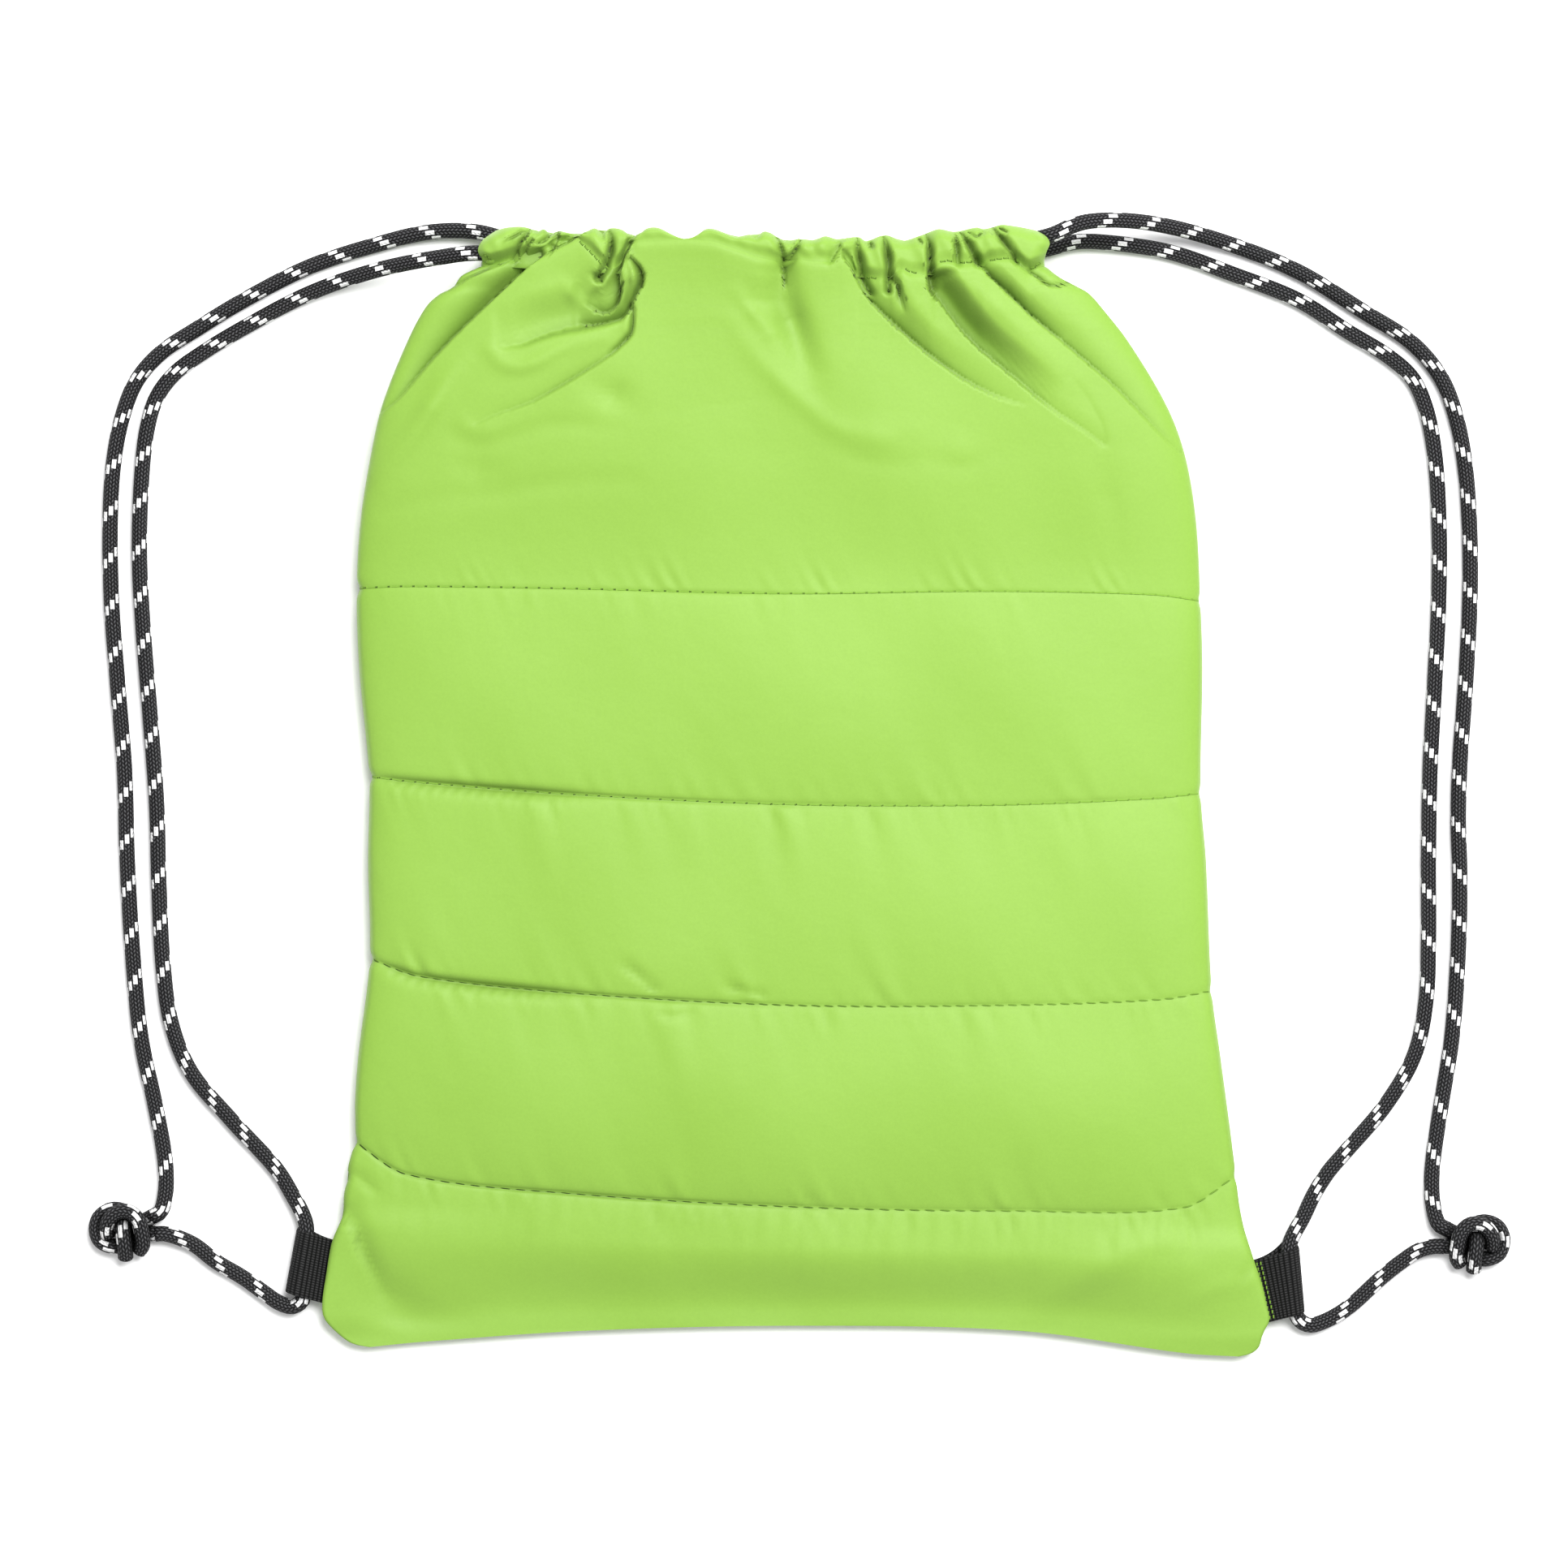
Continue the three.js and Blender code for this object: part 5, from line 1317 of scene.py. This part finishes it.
# A tab is a strip of webbing from the seam out over the cord, round it and back underneath. Its section
# is laid across a line in the tab's own upright plane, and then turned to where the tab is.
def tabParts(place):
    radius = tab["radius"] + tab["webbing"] / 2
    eyeX, eyeZ = place["depth"] - tab["radius"] - tab["webbing"], -tab["sag"]
    half = tab["webbing"] / 2 + 0.05
    above = [(-tab["sewnIn"], half), (-2, half), (1.5, half + 0.1)]
    below = [(out, -height) for out, height in reversed(above)]
    arc = [(eyeX + radius * cos(a), eyeZ + radius * sin(a)) for a in np.radians(range(80, -81, -20))]
    line = smoothPath([*above, *arc, *below], tab["step"])
    way = np.gradient(line, axis=0)
    way /= np.linalg.norm(way, axis=1)[:, None]
    normal = np.column_stack([-way[:, 1], way[:, 0]])

    # a section across the strip, with rounded selvedges
    wide, thick = tab["width"] / 2, tab["webbing"] / 2 - 0.05
    flatEnd = wide - thick - 0.4
    bends = np.radians((15, 50, 90, 130, 165))
    selvedge = [(wide - thick + thick * sin(a), thick * cos(a)) for a in bends]
    flat = np.linspace(flatEnd, -flatEnd, tab["across"])
    lower = [(w, -thick) for w in flat] + [(-w, -t) for w, t in selvedge]
    section = np.array(lower + [(w, thick) for w in flat[::-1]] + selvedge)
    outward = line[:, :1] + normal[:, :1] * section[None, :, 1]
    across = np.tile(section[:, 0], (len(line), 1))
    height = line[:, 1:] + normal[:, 1:] * section[None, :, 1]

    turn = radians(place["turn"])
    out = outward * (1 + place["flare"] * across / wide * smoothstep(0, 8, outward))
    part = (np.arange(len(line)) / (len(line) - 1))[:, None]
    under = smoothstep(0.48, 0.6, part) * np.clip(out / place["depth"], 0, 1) ** 2.5
    pulled = np.clip(np.sign(place["open"]) * across / wide, 0, 1) ** 2
    aside = across + place["skew"] * np.maximum(0, out) + place["open"] * under * pulled
    x = place["x"] + out * cos(turn) - aside * sin(turn)
    y = place["y"] + out * sin(turn) + aside * cos(turn)
    quads, row, column = gridQuads(len(line), len(section), roundColumns=True)
    over = np.r_[section[:, 0], section[0, 0]]
    corners = np.stack([over[column], row * tab["step"]], -1).reshape(-1, 2) * mm
    return np.stack([x, y, height + tabZ], -1).reshape(-1, 3), quads.tolist(), corners


for name, place in tabs.items():
    made = makeMesh(f"{name}_webbing", tabParts(place), webbing)
    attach(made, "root")
    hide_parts(name)
print("tabs made")

# Stitches: lengths of thread along a line on the surface. share is a stitch's part of its pitch,
# middle and ends say how dark its painted shade is there, and paler how much of that painted shade is
# lost towards the right.
stitch = {
    "radius": 0.3, "hole": 0.44, "sides": 6, "bow": 0.3, "sunk": 0.15,
    "palerFrom": -70, "palerTo": 110,
}
quiltRows = [
    {"pitch": 5.8, "share": 0.7, "middle": 1.0, "ends": 0.6, "wander": 0.3, "paler": 0.6},
    {"pitch": 5.0, "share": 0.72, "middle": 0.85, "ends": 0.6, "wander": 0.4, "paler": 0.5},
    {"pitch": 4.7, "share": 1.0, "middle": 0.2, "ends": 1.0, "wander": 0.2, "paler": 0.55},
    {"pitch": 4.8, "share": 1.0, "middle": 0.08, "ends": 0.85, "wander": 0.0, "paler": 0.68},
]
casingRow = {"pitch": 2.6, "share": 0.76, "middle": 0.35, "ends": 0.9, "wander": 0.25, "paler": 0}
tabRow = {"pitch": 1.9, "share": 0.7, "middle": 0.35, "ends": 0.35, "wander": 0.2, "paler": 0}


def stitchParts(path, up, row):
    run = np.r_[0, np.cumsum(np.linalg.norm(np.diff(path, axis=0), axis=1))]
    spans = np.array((-0.5, -0.42, -0.39, -0.2, 0, 0.2, 0.39, 0.42, 0.5))  # parts of a stitch's length
    atEnd = np.abs(spans) > 0.4
    # painted shade: how dark the thread is painted at its needle-hole ends and along its middle
    paintedShade = np.where(atEnd, row["ends"], row["middle"])
    size = np.where(atEnd & (row["ends"] > row["middle"]), stitch["hole"], stitch["radius"])
    bow = 1 - (2 * np.abs(spans)) ** 3
    turn = 2 * pi * np.arange(stitch["sides"]) / stitch["sides"]
    quads, cut, _ = gridQuads(len(spans), stitch["sides"], roundColumns=True)
    places = np.stack([paintedShade[cut], 0 * cut], -1).reshape(-1, 2)
    margin = 0.6 * row["pitch"]
    made = []
    here = margin
    while here < run[-1] - margin:
        at = here + spans * row["share"] * row["pitch"]
        spine = np.column_stack([np.interp(at, run, path[:, k]) for k in range(3)])
        lift = np.column_stack([np.interp(at, run, up[:, k]) for k in range(3)])
        spine = spine + lift * (bow * stitch["bow"] - stitch["sunk"])[:, None]
        way = spine[-1] - spine[0]
        way /= np.linalg.norm(way)
        middle = lift[len(spans) // 2]
        sideways = np.cross(way, middle)
        sideways /= np.linalg.norm(sideways)
        spine = spine + sideways * row["wander"] * spans[:, None]
        spokes = sideways[None] * np.cos(turn)[:, None] + middle[None] * np.sin(turn)[:, None]
        points = (spine[:, None] + spokes[None] * size[:, None, None]).reshape(-1, 3)
        # the painted shade fades towards the right
        lost = row["paler"] * smoothstep(stitch["palerFrom"], stitch["palerTo"], spine[0, 0])
        made.append((points, quads.tolist(), places * (1 - lost)))
        here += row["pitch"]
    return joinParts(made)


def addStitches(name, rows):
    made = makeMesh(name, joinParts(stitchParts(*row) for row in rows), thread)
    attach(made, "root")


def surfaceLine(grid, r):
    path = np.column_stack([grid[key][r] for key in ("x", "y", "z")])
    across = np.gradient(path, axis=0)
    up = np.column_stack([-across[:, 2], np.zeros(len(path)), across[:, 0]])
    return path, up / np.linalg.norm(up, axis=1)[:, None]


def straightUp(path):
    return np.tile([0.0, 0.0, 1.0], (len(path), 1))


rows = []
for k, row in enumerate(quiltRows, 1):
    rows.append((*surfaceLine(body, int(np.abs(bodyV - k).argmin())), row))
addStitches("quilting_stitches", rows)

# Short lengths of the casing's row of stitches, where the gathers leave them in sight
sewn = [
    [(-82.2, 209.6), (-77.9, 205.4), (-73.4, 200.6)],
    [(27, 195.9), (30, 195.6), (33.4, 195.2)],
    [(41.4, 199), (44.2, 197.7), (48.6, 197.3)],
    [(54.6, 201.2), (57.5, 201.9), (61, 201.6)],
    [(62.4, 201.5), (65.8, 201.3), (67.8, 201.9)],
    [(73.6, 202), (76.2, 202.6), (82, 203.1)],
    [(89.2, 199), (91.2, 200), (94.2, 202.4)],
    [(-118.6, 204.6), (-116.4, 203.2), (-114, 201.8)],
]
known = [np.column_stack([grid[key].ravel() for key in ("x", "y", "z")]) for grid in (upper, face)]
known = np.vstack(known)
rows = []
for places in sewn:
    path = smoothPath(places, 0.5)
    heights = [known[((known[:, :2] - here) ** 2).sum(1).argmin(), 2] for here in path]
    path = np.column_stack([path, heights])
    rows.append((path, straightUp(path), casingRow))
addStitches("casing_stitches", rows)

# Two rows of thread on the right tab, beside the seam
tabThread = {"out": (1.4, 2.9), "half": 11.6, "above": 0.15, "slope": 0.12}
place = tabs["right_tab"]
turn = radians(place["turn"])
aside = np.linspace(-tabThread["half"], tabThread["half"], 24)
rows = []
for out in tabThread["out"]:
    x = place["x"] + out * cos(turn) - aside * sin(turn)
    y = place["y"] + out * sin(turn) + aside * cos(turn)
    level = tabZ + tab["webbing"] + tabThread["above"] + tabThread["slope"] * out
    path = np.column_stack([x, y, np.full_like(x, level)])
    rows.append((path, straightUp(path), tabRow))
addStitches("tab_stitches", rows)
print("stitches made")
